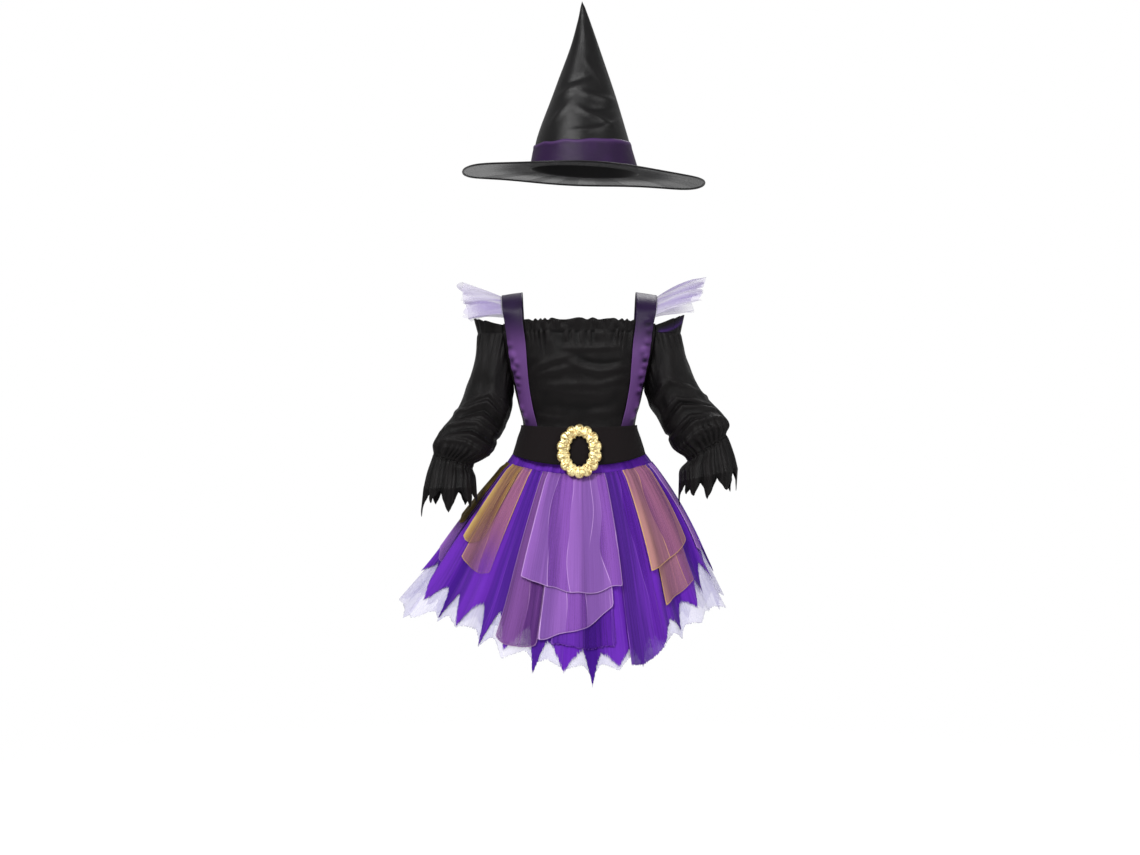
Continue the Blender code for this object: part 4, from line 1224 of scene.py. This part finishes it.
    def cuff(self, side: Side) -> Sheet:
        """Make one cuff, from its points up to the elbow gather."""
        gather = self.rings[side][-1]
        top = self.down_arm(gather, self.band)
        foot = self.down_arm(gather, 2 * self.band + self.seam)
        upper, valley = self.cuffs[side]
        columns = []
        count, seed = len(self.points), 2.0 if side is Side.LEFT else 5.0
        for i in range(self.columns):
            turn = 2 * math.pi * i / self.columns
            column = curve_through([self.ring_point(ring, turn) for ring in (valley, upper, foot, top)], 30)
            place = self.petal_place(turn, seed)
            near = round(place)
            off = min(abs(place - near) * 2, 1.0)
            length = self.points[near % count] * (1.04 + 0.14 * math.sin(2.3 * (near % count) + seed))
            hem = 0.003 + (length - 0.003) * (1 - off) ** self.petals[(near + int(seed)) % count]
            curl = 0.10 * math.sin(1.9 * (near % count) + seed)
            tip = column[0] + Vector((curl * hem, 0.06 * hem, -hem))
            lower = [tip.lerp(column[0], k / 12) for k in range(12)]
            columns.append(lower + column)
        rows = on_side(side, [list(row) for row in zip(*columns)])
        total = len(rows) - 1

        def height(r: int, i: int) -> float:
            around = i / self.columns if side is Side.RIGHT else 1 - (i + 1) / self.columns
            down = 1 - r / total
            uneven = ripple(6 * math.cos(2 * math.pi * around), 4.0) * 0.5
            wave = math.sin(2 * math.pi * (13 * around + uneven))
            broad = math.cos(2 * math.pi * self.petal_place(2 * math.pi * around, seed))
            return 0.0013 * wave * (1 - 0.5 * down) + (0.0032 * broad + 0.0010 * wave) * down
        sheet = Sheet(f"cuff_{side.value}_cloth", rows, self.thickness, closed=True, free_edge=False)
        return sheet.raise_by(height, 0.0030)

    def frill(self, side: Side) -> Sheet:
        """Make the frill that stands on one sleeve's neck edge."""
        corner, columns, rows = self.corner(), 120, []
        waves = []
        for r in range(11):
            lift = r / 10
            row, line = [], []
            for i in range(columns + 1):
                turn = math.pi * (i / columns - 0.5)
                wave = math.sin(2 * math.pi * (9 * i / columns + 0.5 * ripple(i / 20, 2.5)))
                flare = (0.004 + 0.0030 * wave) * lift * math.cos(turn) ** 0.5 if 0 < i < columns else 0.0
                height = 0.021 - 0.009 * (1 - math.cos(turn))
                x = corner.x + (self.top_out - corner.x + flare) * math.cos(turn)
                slant = (0.008 if side is Side.RIGHT else 0.002) * math.cos(turn)
                z = TORSO.neck_z - 0.001 + lift * (0.001 + height + slant + 0.0016 * wave * math.cos(turn))
                row.append(Vector((x, (-corner.y + flare * 0.8) * math.sin(turn), z)))
                line.append(wave)
            rows.append(row)
            waves.append(line)
        sheet = Sheet(f"neck_frill_{side.value}_cloth", on_side(side, rows), self.thickness, free_edge=False)
        sheet.fold = waves
        # Painted sheen: a thin purple line along the right frill's front half, rising towards its outer end.
        if side is Side.RIGHT:
            def tone(r: int, i: int) -> float:
                lie = 1.5 + 5.0 * ease(i, 6, 58)
                return (0.85 * math.exp(-((r - lie) / 0.9) ** 2) + 0.25 * math.exp(-((r - lie - 1.6) / 1.8) ** 2)
                        ) * ease(i, 1, 8) * (1 - ease(i, 54, 66))
            sheet.tone = tone
        return sheet

    def make(self, wardrobe: Wardrobe) -> None:
        """Make the sleeves, cuffs and neck frills."""
        for side in Side:
            wardrobe.hang(self.sleeve(side), f"sleeve_{side.value}", BLACK_JERSEY, Held.GATHERED)
            wardrobe.hang(self.cuff(side), f"cuff_{side.value}", BLACK_JERSEY, Held.GATHERED)
            wardrobe.hang(self.frill(side), f"neck_frill_{side.value}", BLACK_JERSEY, Held.GATHERED)


@dataclass
class Belt:
    """The wide elastic belt and its gold buckle."""

    columns: int = 180
    rows_up: int = 16
    out: float = 0.0021
    thickness: float = 0.0022
    seam: float = 0.0008
    buckle_z: float = -0.2570
    tilt: float = math.radians(14)
    outer: tuple[float, float] = (0.0345, 0.0425)
    inner: tuple[float, float] = (0.0160, 0.0250)
    lobes: int = 14
    lobe_height: float = 0.0022
    buckle_thickness: float = 0.0070
    clear: float = 0.0012
    wall: float = 0.0024

    def sheet(self) -> Sheet:
        """Make the belt."""
        rows = []
        for r in range(self.rows_up + 1):
            row = []
            for i in range(self.columns):
                angle = 2 * math.pi * i / self.columns
                foot, top = TORSO.waist_z(angle) - self.seam, TORSO.belt_top_z(angle)
                row.append(TORSO.point(angle, foot + (top - foot) * r / self.rows_up, self.out))
            rows.append(row)

        def height(r: int, i: int) -> float:
            angle, up = 2 * math.pi * i / self.columns, r / self.rows_up
            roll = 0.0004 * math.exp(-((up - 0.5) / 0.55) ** 2)
            circle = Vector((1.4 * math.cos(angle), 1.4 * math.sin(angle), 2.0 * up))
            return roll + 0.0004 * noise.noise(circle) * up * (1 - up) * 4
        return Sheet("belt_cloth", rows, self.thickness, closed=True, free_edge=False).raise_by(height, 0.002)

    def buckle(self) -> bpy.types.Object:
        """Make the buckle: a ring of moulded rosettes, shaped from a circle."""
        bpy.ops.object.select_all(action="DESELECT")
        steps = self.lobes * 12
        bpy.ops.mesh.primitive_circle_add(vertices=steps, radius=1.0, location=(0, 0, 0),
                                          rotation=(math.pi / 2, 0, 0))
        ring = bpy.context.object
        ring.name = ring.data.name = "buckle_moulded"
        bpy.ops.object.transform_apply(location=False, rotation=True, scale=False)
        bpy.ops.object.mode_set(mode="EDIT")
        bpy.ops.mesh.select_all(action="SELECT")
        profile = self.profile()
        for _ in range(len(profile) - 1):
            bpy.ops.mesh.extrude_edges_move()
        bpy.ops.object.mode_set(mode="OBJECT")
        half = self.buckle_thickness / 2
        front = TORSO.point(0.0, self.buckle_z, self.out + self.wall + self.clear + half).y
        lean, sink = math.sin(-self.tilt), math.cos(-self.tilt)
        for index, vert in enumerate(ring.data.vertices):
            level, step = divmod(index, steps)
            turn = math.atan2(vert.co.x, vert.co.z)
            share, depth = profile[level]
            lobe = abs(math.cos(self.lobes / 2 * turn))
            scallop = self.lobe_height * (2 * lobe ** 0.6 - 1)
            inward = 0.0010 * math.cos(self.lobes * turn) * (1 - share)
            bead = 0.0011 * math.cos(self.lobes * turn) * math.sin(math.pi * share) * (depth < 0)
            petal = 0.0007 * math.cos(3 * self.lobes * turn) * math.sin(2 * math.pi * share) * (depth < 0)
            wide = self.inner[0] + (self.outer[0] - self.inner[0]) * share + scallop * share - inward
            tall = self.inner[1] + (self.outer[1] - self.inner[1]) * share + scallop * share - inward
            y, z = (depth - bead - petal), tall * math.cos(turn)
            vert.co = (wide * math.sin(turn), front + y * sink - z * lean, self.buckle_z + y * lean + z * sink)
        bpy.ops.object.mode_set(mode="EDIT")
        bpy.ops.mesh.select_all(action="SELECT")
        bpy.ops.mesh.remove_doubles(threshold=0.00005)
        bpy.ops.mesh.normals_make_consistent(inside=False)
        bpy.ops.object.mode_set(mode="OBJECT")
        ring.data.shade_smooth()
        return ring

    def profile(self) -> tuple[tuple[float, float], ...]:
        """Return the ring's section: share of the way out, and depth."""
        half = self.buckle_thickness / 2
        front = [(k / 10, -half * (0.35 + 0.65 * math.sin(math.pi * k / 10) ** 0.6)) for k in range(11)]
        return ((0.0, half), *front, (1.0, half), (0.0, half))

    def make(self, wardrobe: Wardrobe) -> None:
        """Make the belt and the buckle."""
        wardrobe.hang(self.sheet(), "belt", BLACK_ELASTIC, Held.STRETCHED)
        wardrobe.fix(self.buckle(), BUCKLE_GOLD, "buckle")


@dataclass
class Skirt:
    """The waistband, petticoat, violet skirt and overlay panels, on one form with shared folds."""

    columns: int = 72
    fine: int = 10
    rows_down: int = 44
    fold_columns: int = 4
    fold_at_waist: float = 0.0014
    fold_at_hem: float = 0.0095
    pitch_at_waist: float = 0.0016
    pitch_at_hem: float = 0.0030
    pitch_full_reach: float = 0.45
    pitch_sewn: float = 0.0003
    point_depth: float = 0.17
    waistband_top: float = -0.066
    thickness: float = 0.0005
    table: tuple[SkirtRow, ...] = (
        SkirtRow(-0.10, 0.1030, 0.1030, 0.0805, 0.0805, -0.256, -0.272),
        SkirtRow(0.00, 0.1180, 0.1190, 0.0860, 0.0870, -0.278, -0.296),
        SkirtRow(0.25, 0.1610, 0.1560, 0.1080, 0.1150, -0.333, -0.373),
        SkirtRow(0.50, 0.2010, 0.1850, 0.1340, 0.1460, -0.388, -0.451),
        SkirtRow(0.75, 0.2390, 0.2080, 0.1560, 0.1720, -0.443, -0.530),
        SkirtRow(1.00, 0.2830, 0.2340, 0.1740, 0.1920, -0.498, -0.609),
        SkirtRow(1.15, 0.3110, 0.2500, 0.1840, 0.2020, -0.531, -0.656))
    hems: tuple[Hem, ...] = (
        Hem(-180, 0.98, 1.00), Hem(-130, 0.95, 1.00), Hem(-92, 0.82, 1.03), Hem(-75, 0.86, 1.10),
        Hem(-60, 0.96, 1.00), Hem(-30, 0.97, 0.97), Hem(0, 1.03, 1.00), Hem(30, 1.00, 0.98),
        Hem(55, 0.92, 1.00), Hem(80, 0.83, 1.06), Hem(95, 0.82, 1.02), Hem(130, 0.95, 1.00),
        Hem(180, 0.98, 1.00))
    panels: tuple[Panel, ...] = (
        Panel("panel_lilac_front", -5, 4, 4, 0.05, 0.56, 0.60, 0.59, LILAC),
        Panel("panel_lilac_lower", -3, 3, 3, 0.05, 0.84, 0.78, 0.68, LILAC),
        Panel("panel_mauve_front", -6, -3, 2, 0.03, 0.89, 0.91, 0.88, MAUVE),
        Panel("panel_violet_front", -2, 3, 2, 0.05, 0.86, 0.87, 0.88, VIOLET_VEIL),
        Panel("panel_violet_right", 4, 7, 2, 0.02, 1.00, 1.01, 0.97, VIOLET_VEIL),
        Panel("panel_copper_lower", 8, 12, 2, 0.02, 0.78, 0.77, 0.75, COPPER, 0.20, 0.20),
        Panel("panel_copper_upper", 7, 13, 3, 0.02, 0.58, 0.56, 0.52, COPPER, 0.0, 0.30),
        Panel("panel_lilac_right", 14, 17, 2, 0.02, 0.60, 0.63, 0.58, LILAC),
        Panel("panel_copper_left", -12, -8, 2, 0.02, 0.60, 0.63, 0.60, COPPER, 0.46),
        Panel("panel_gold_left", -13, -10, 3, 0.02, 0.50, 0.50, 0.44, GOLD, 0.50, 0.60),
        Panel("panel_lilac_left", -17, -14, 2, 0.02, 0.64, 0.70, 0.70, LILAC, 0.30),
        Panel("panel_olive_left", -17, -15, 3, 0.02, 0.40, 0.44, 0.42, OLIVE),
        Panel("panel_copper_back_right", 20, 25, 2, 0.02, 0.66, 0.70, 0.62, COPPER),
        Panel("panel_mauve_back", 27, 31, 2, 0.02, 0.80, 0.84, 0.80, MAUVE),
        Panel("panel_violet_back", 33, 39, 2, 0.02, 0.86, 0.90, 0.86, VIOLET_VEIL),
        Panel("panel_lilac_back", 32, 41, 3, 0.02, 0.58, 0.62, 0.57, LILAC),
        Panel("panel_gold_back", 43, 47, 2, 0.02, 0.56, 0.60, 0.54, GOLD),
        Panel("panel_lilac_back_left", 49, 53, 2, 0.02, 0.76, 0.80, 0.74, LILAC))

    def core(self, angle: float, reach: float) -> Vector:
        """Return a point of the smooth form that all layers share."""
        row = read_rows(self.table, reach)
        side, front = math.sin(angle), math.cos(angle)
        half_width = row.right if side > 0 else row.left
        half_depth = row.front if front > 0 else row.back
        return Vector((half_width * side, -half_depth * front,
                       row.front_z + (row.side_z - row.front_z) * side * side))

    def circle(self, column: float, spread: float, level: float) -> float:
        """Return slow noise, about -1 to 1, that closes round the skirt."""
        turn = 2 * math.pi * column / self.columns
        return 1.9 * noise.noise(Vector((spread * math.cos(turn), spread * math.sin(turn), level)))

    def fold(self, column: float, reach: float) -> float:
        """Return how far the shared folds stand out at a place."""
        down, turn = max(reach, 0.0), 2 * math.pi * column / self.columns
        place = (column + 1) / self.fold_columns + 0.15 * self.circle(column, 3.0, 0.9 * down)
        strength = 0.80 + 0.25 * self.circle(column, 4.0, 3.0)
        big = math.cos(2 * math.pi * place) * strength * (
            self.fold_at_waist + (self.fold_at_hem - self.fold_at_waist) * down)
        small = math.sin(41 * turn + 0.9 + 1.5 * self.circle(column, 5.0, down)) * (1 + self.circle(column, 4.0, 7.0))
        soft = math.sin(27 * turn + 2.1 + 2.0 * self.circle(column, 4.0, 1.2 * down + 5.0))
        gather = math.sin(89 * turn + 3.0 * self.circle(column, 6.0, 2.0)) + 0.5 * math.sin(61 * turn + 1.0)
        return big + (small * 0.0019 + soft * 0.0018) * down + gather * 0.00065 * (1 - ease(down, 0.03, 0.34))

    def out(self, layer: float, reach: float) -> float:
        """Return how far a layer lies outside the shared form."""
        share = min(max(reach, 0.0) / self.pitch_full_reach, 1.0)
        pitch = self.pitch_at_waist + (self.pitch_at_hem - self.pitch_at_waist) * share
        sewn = 1 - ease(reach, -0.006, 0.050)
        return layer * (pitch + (self.pitch_sewn - pitch) * sewn) + self.pitch_sewn * 2 * min(layer, 1) * sewn

    def point(self, column: float, reach: float, layer: float) -> Vector:
        """Return a point of a layer, folds included."""
        angle, step = column * 2 * math.pi / self.columns, 0.01
        here = self.core(angle, reach)
        along = self.core(angle + step, reach) - here
        down = self.core(angle, reach + step) - here
        return here + down.cross(along).normalized() * (self.fold(column, reach) + self.out(layer, reach))

    def hem_stop(self, place: int, part: str) -> tuple[float, float]:
        """Return the column and reach of one point of a hem, or of the notch between two points."""
        depth, wave, beat = ((self.point_depth, 0.03, 1.7) if part == "skirt"
                             else (self.point_depth / 3, 0.025, 2.3))
        degrees = (place * 360 / self.columns + 180) % 360 - 180
        base = getattr(read_rows(self.hems, degrees), part)
        if place % 2:
            return place + 0.38 * math.sin(3.1 * place), base + wave * math.sin(beat * place)
        return place + 0.30 * math.sin(4.7 * place + 1), base - depth * (0.86 + 0.30 * math.sin(2.9 * place))

    def hem(self, column: float, part: str) -> float:
        """Return how far the violet skirt or the petticoat reaches: points on odd columns."""
        low = math.floor(column)
        stops = [self.hem_stop(place, part) for place in range(low - 1, low + 3)]
        k = max(i for i in range(3) if i == 0 or stops[i][0] <= column)
        (left, first), (right, second) = stops[k], stops[k + 1]
        share = (column - left) / (right - left)
        share = share ** 1.4 if second > first else 1 - (1 - share) ** 1.4
        return first + (second - first) * share

    def layer(self, name: str, first: float, last: float, layer: float, start: float,
              hem: Callable[[float], float]) -> Sheet:
        """Make one sheet of the skirt.

        Args:
            name: the piece's name.
            first: its first column.
            last: its last column.
            layer: its place among the layers.
            start: the reach of its top edge.
            hem: gives the reach of its lower edge by column.

        Returns:
            The sheet.
        """
        count = round((last - first) * self.fine)
        places = [first + (last - first) * i / count for i in range(count + 1)]
        ends = [hem(place) for place in places]
        rows, folds = [], []
        for r in range(self.rows_down + 1):
            share = 1 - r / self.rows_down
            reaches = [start + (end - start) * share for end in ends]
            rows.append([self.point(place, reach, layer) for place, reach in zip(places, reaches)])
            folds.append([self.fold(place, reach) / (0.0010 + 0.0070 * max(reach, 0.0))
                          for place, reach in zip(places, reaches)])
        sheet = Sheet(f"{name}_cloth", rows, self.thickness)
        sheet.fold = folds
        return sheet

    def panel(self, panel: Panel) -> Sheet:
        """Make one overlay panel."""
        seed = panel.first * 0.37

        def hem(column: float) -> float:
            share = (column - panel.first) / (panel.last - panel.first)
            straight = panel.end_first + (panel.end_last - panel.end_first) * share
            swell = panel.end_middle - (panel.end_first + panel.end_last) / 2
            return straight + swell * 4 * share * (1 - share) + 0.009 * ripple(column * 0.7, seed)
        start = min(panel.start, -0.005)
        sheet = self.layer(panel.name, panel.first, panel.last, panel.layer, start, hem)
        count = len(sheet.rows[0]) - 1

        def tone(r: int, i: int) -> float:
            down, across = 1 - r / self.rows_down, i / count
            # Painted highlight: lit lightens a band near the panel's first edge, lower down.
            lit = panel.glow * math.exp(-((across - 0.05) / 0.16) ** 2) * ease(down, 0.1, 0.5)
            return lit - panel.thin * ease(down, 0.35, 1.0) * ease(across, 0.10, 0.55)
        sheet.tone = tone
        return sheet

    def waistband(self) -> Sheet:
        """Make the narrow violet band above the skirt."""
        count = 216
        rows = []
        for r in range(8):
            reach = -0.004 + (self.waistband_top + 0.004) * r / 6
            tuck = -0.6 if r == 7 else 0.0
            rows.append([self.point(i * self.columns / count, reach, tuck) for i in range(count)])
        return Sheet("waistband_cloth", rows, self.thickness, closed=True, free_edge=False)

    def make(self, wardrobe: Wardrobe) -> None:
        """Make every layer of the skirt."""
        wardrobe.hang(self.waistband(), "waistband", VIOLET, Held.STRETCHED)
        quarter = self.columns / 4
        for half, middle in (("front", 0.0), ("back", 2 * quarter)):
            first, last = middle - quarter, middle + quarter
            for name, layer, part, finish in (("petticoat", 0, "petticoat", NET), ("skirt", 1, "skirt", VIOLET)):
                sheet = self.layer(f"{name}_{half}", first, last, layer, -0.006 * layer,
                                   lambda column, part=part: self.hem(column, part))
                sheet.seamed = True
                wardrobe.hang(sheet, f"{name}_{half}", finish, Held.GATHERED)
        for panel in self.panels:
            wardrobe.hang(self.panel(panel), panel.name, panel.finish, Held.GATHERED)


@dataclass
class Hat:
    """The pointed hat: satin cone, band and sheer wired brim."""

    columns: int = 144
    rows_up: int = 110
    roll: float = 0.050
    thickness: float = 0.0008
    table: tuple[HatRow, ...] = (
        HatRow(0.203, 0.0090, 0.0880), HatRow(0.259, 0.0065, 0.0735), HatRow(0.333, 0.0090, 0.0490),
        HatRow(0.404, 0.0098, 0.0238), HatRow(0.450, 0.0080, 0.0094), HatRow(0.473, 0.0060, 0.0028))
    tip: tuple[float, float, float] = (0.0050, 0.0, 0.4820)
    band_foot: float = 0.206
    band_height: float = 0.040
    band_skew: float = 0.006
    brim_radii: tuple[float, float] = (0.0905, 0.199)
    brim_z: float = 0.202
    brim_centre_x: float = 0.0075
    brim_droop: float = 0.011
    brim_front_droop: float = 0.008
    brim_wave: float = 0.0016
    wire: float = 0.0016
    creases: tuple[Crease, ...] = (
        Crease(0.030, 0.318, 0.045, 0.0050, 0.0022, -0.10, 0.006),
        Crease(0.036, 0.300, 0.040, 0.0060, -0.0020, 0.20, 0.004),
        Crease(0.022, 0.284, 0.040, 0.0050, 0.0024, -0.42, 0.002),
        Crease(0.050, 0.276, 0.034, 0.0050, 0.0022, 0.38, 0.002),
        Crease(0.006, 0.262, 0.040, 0.0040, 0.0014, 0.16, 0.002),
        Crease(-0.022, 0.330, 0.034, 0.0060, 0.0016, 0.40, 0.001),
        Crease(-0.040, 0.290, 0.026, 0.0070, 0.0014, 0.90, 0.001),
        Crease(-0.014, 0.346, 0.030, 0.0060, -0.0014, 0.30, 0.003),
        Crease(0.014, 0.362, 0.020, 0.0080, 0.0012, -1.20, 0.000))

    def cone_point(self, angle: float, z: float, out: float = 0.0) -> Vector:
        """Return a point of the cone; its rings roll down towards +X."""
        row = read_rows(self.table, z)
        x = (row.radius + out) * math.sin(angle)
        return Vector((row.centre + x, -(row.radius + out) * math.cos(angle), z - self.roll * x))

    def cone(self) -> Sheet:
        """Make the cone, with its crosswise creases."""
        low, high = self.table[0].z - 0.0016, self.table[-1].z
        levels = [low + (high - low) * r / self.rows_up for r in range(self.rows_up + 1)]
        rows = [[self.cone_point(2 * math.pi * i / self.columns, z) for i in range(self.columns)]
                for z in levels]

        def height(r: int, i: int) -> float:
            angle = 2 * math.pi * i / self.columns
            z, radius = levels[r], read_rows(self.table, levels[r]).radius
            along = radius * ((angle + math.pi) % (2 * math.pi) - math.pi)
            rear = radius * ((angle) % (2 * math.pi) - math.pi)
            lift = crease_height(self.creases, along, z) + crease_height(self.creases, -rear * 0.9, z + 0.012)
            spot = Vector((math.sin(angle) * 1.5, math.cos(angle) * 1.5, z * 16))
            lift += 0.0007 * noise.noise(spot) * min(radius / 0.05, 1.0)
            seam = -0.0005 * math.exp(-(rear / 0.0014) ** 2)
            free = ease(z, 0.247, 0.262) * (1 - ease(z, 0.44, 0.465))
            return (1.1 * lift + seam) * free
        sheet = Sheet("hat_cone_cloth", rows, self.thickness, closed=True, tip=Vector(self.tip), free_edge=False)
        return sheet.raise_by(height, 0.002)

    def band(self) -> Sheet:
        """Make the satin band, with its uneven top edge."""
        rows = []
        for r in range(17):
            lift = r / 16
            row = []
            for i in range(self.columns):
                angle = 2 * math.pi * i / self.columns
                spot = Vector((2.6 * math.cos(angle), 2.6 * math.sin(angle), 4.0))
                tall = self.band_height + self.band_skew * math.sin(angle) + 0.0034 * noise.noise(spot)
                row.append(self.cone_point(angle, self.band_foot + tall * lift, 0.0018))
            rows.append(row)

        def height(r: int, i: int) -> float:
            angle, lift = 2 * math.pi * i / self.columns, r / 16
            spot = Vector((4.5 * math.cos(angle), 4.5 * math.sin(angle), lift * 2.2))
            roll = 0.0007 * math.exp(-((lift - 0.93) / 0.07) ** 2)
            return roll + 0.0009 * max(0.0, noise.noise(spot)) * (0.3 + 0.7 * lift)
        # Painted highlight: a pale line along the band's rolled top edge.
        sheet = Sheet("hat_band_cloth", rows, 0.0006, closed=True, free_edge=False,
                      tone=lambda r, i: 0.35 * math.exp(-((r / 16 - 0.95) / 0.06) ** 2))
        return sheet.raise_by(height, 0.0012)

    def brim_point(self, angle: float, share: float) -> Vector:
        """Return a point of the brim."""
        radius = self.brim_radii[0] + (self.brim_radii[1] - self.brim_radii[0]) * share
        x = radius * math.sin(angle)
        front = self.brim_front_droop * max(math.cos(angle), 0.0) ** 2
        droop = (self.brim_droop * math.sin(angle) ** 2 + front) * share * share
        wave = self.brim_wave * math.sin(5 * angle + 1.0) * share
        return Vector((self.brim_centre_x + 0.0015 * (1 - share) + x, -radius * math.cos(angle),
                       self.brim_z - droop - self.roll * x + wave))

    def brim(self) -> Sheet:
        """Make the sheer brim."""
        count = 240
        sewn = -0.019
        rows = [[self.brim_point(2 * math.pi * i / count, 1 + (sewn - 1) * r / 24) for i in range(count)]
                for r in range(25)]

        def height(r: int, i: int) -> float:
            angle = 2 * math.pi * i / count
            spot = Vector((9 * math.cos(angle), 9 * math.sin(angle), r * 0.05))
            return 0.0008 * noise.noise(spot) * math.sin(math.pi * r / 24)
        sheet = Sheet("hat_brim_cloth", rows, 0.0006, closed=True, free_edge=False,
                      tone=lambda r, i: 0.80 * ease(r, 8, 21))
        return sheet.raise_by(height, 0.0008)

    def edge(self) -> bpy.types.Object:
        """Make the bound wire at the brim's edge, as a thin round tube."""
        mesh = bpy.data.meshes.new("hat_brim_edge")
        bm = bmesh.new()
        count, sides = 240, 8
        rings = []
        for i in range(count):
            angle = 2 * math.pi * i / count
            here = self.brim_point(angle, 0.995)
            out = Vector((math.sin(angle), -math.cos(angle), 0.0))
            rings.append([bm.verts.new(here + out * self.wire * math.cos(2 * math.pi * k / sides)
                                       + Vector((0, 0, self.wire * math.sin(2 * math.pi * k / sides))))
                          for k in range(sides)])
        for i in range(count):
            here, there = rings[i], rings[(i + 1) % count]
            for k in range(sides):
                j = (k + 1) % sides
                bm.faces.new((here[k], there[k], there[j], here[j]))
        bmesh.ops.recalc_face_normals(bm, faces=bm.faces)
        bm.to_mesh(mesh)
        bm.free()
        mesh.shade_smooth()
        piece = bpy.data.objects.new("hat_brim_edge", mesh)
        bpy.context.scene.collection.objects.link(piece)
        return piece

    def make(self, wardrobe: Wardrobe) -> None:
        """Make the hat."""
        wardrobe.hang(self.cone(), "hat_cone", BLACK_SATIN, Held.DRAPED)
        wardrobe.hang(self.band(), "hat_band", BAND_SATIN, Held.STRETCHED)
        edge = wardrobe.fix(self.edge(), BLACK_SATIN)
        wardrobe.hang(self.brim(), "hat_brim", BRIM_NET, Held.STRETCHED)


@dataclass
class Studio:
    """The pale floor, soft lights and camera."""

    floor_z: float = -0.90
    camera: tuple[float, float, float] = (-0.015, -3.70, -0.219)
    lens: float = 71.0
    ambient: float = 0.40

    def floor(self) -> None:
        """Make the floor, which fades out away from the middle."""
        bpy.ops.object.select_all(action="DESELECT")
        bpy.ops.mesh.primitive_plane_add(size=40.0, location=(0, 0, self.floor_z))
        floor = bpy.context.object
        floor.name = "studio_floor"
        dye = Dye("studio_floor")
        spot = dye.node("ShaderNodeTexCoord").outputs["Object"]
        away = dye.node("ShaderNodeVectorMath", {"operation": "LENGTH"}, {0: spot}).outputs["Value"]
        dye.set(Base_Color=(0.30, 0.30, 0.30), Roughness=0.9, Specular_IOR_Level=0.0)
        dye.set(Emission_Color=(1.0, 1.0, 1.0), Emission_Strength=0.80)
        dye.set(Alpha=1 - dye.step(Sock(dye, away), 0.5, 1.6))
        floor.data.materials.append(dye.material)

    def light(self, name: str, place: tuple[float, float, float], size: float, power: float) -> None:
        """Add a soft square light that faces the costume."""
        data = bpy.data.lights.new(name, "AREA")
        data.shape, data.size, data.energy = "SQUARE", size, power
        lamp = bpy.data.objects.new(name, data)
        lamp.location = place
        lamp.rotation_euler = (Vector((0, 0, -0.1)) - Vector(place)).to_track_quat("-Z", "Y").to_euler()
        bpy.context.scene.collection.objects.link(lamp)

    def make(self) -> None:
        """Set up the studio."""
        self.floor()
        world = bpy.data.worlds.new("studio")
        world.use_nodes = True
        nodes, links = world.node_tree.nodes, world.node_tree.links
        seen, ambient = nodes.new("ShaderNodeBackground"), nodes["Background"]
        for sky, strength in ((seen, 1.0), (ambient, self.ambient)):
            sky.inputs[0].default_value = (1.0, 1.0, 1.0, 1.0)
            sky.inputs[1].default_value = strength
        mix, path = nodes.new("ShaderNodeMixShader"), nodes.new("ShaderNodeLightPath")
        links.new(path.outputs["Is Camera Ray"], mix.inputs[0])
        links.new(ambient.outputs[0], mix.inputs[1])
        links.new(seen.outputs[0], mix.inputs[2])
        links.new(mix.outputs[0], nodes["World Output"].inputs[0])
        bpy.context.scene.world = world
        bpy.context.scene.view_settings.view_transform = "Standard"
        self.light("key", (-2.0, -3.2, 2.6), 1.4, 165.0)
        self.light("fill", (2.8, -3.0, 1.2), 2.2, 70.0)
        self.light("rim", (0.6, 2.6, 2.4), 1.6, 40.0)
        data = bpy.data.cameras.new("camera")
        data.lens, data.sensor_width = self.lens, 36.0
        camera = bpy.data.objects.new("camera", data)
        camera.location = self.camera
        camera.rotation_euler = (math.pi / 2, 0.0, 0.0)
        bpy.context.scene.collection.objects.link(camera)
        bpy.context.scene.camera = camera


def main() -> None:
    """Dress the costume."""
    logging.basicConfig(level=logging.INFO, format="%(message)s")
    Studio().make()
    wardrobe = Wardrobe()
    for garment in (Hat(), Bodice(), Straps(), ShoulderNets(), Sleeves(), Belt(), Skirt()):
        garment.make(wardrobe)


if __name__ == "__main__":
    main()
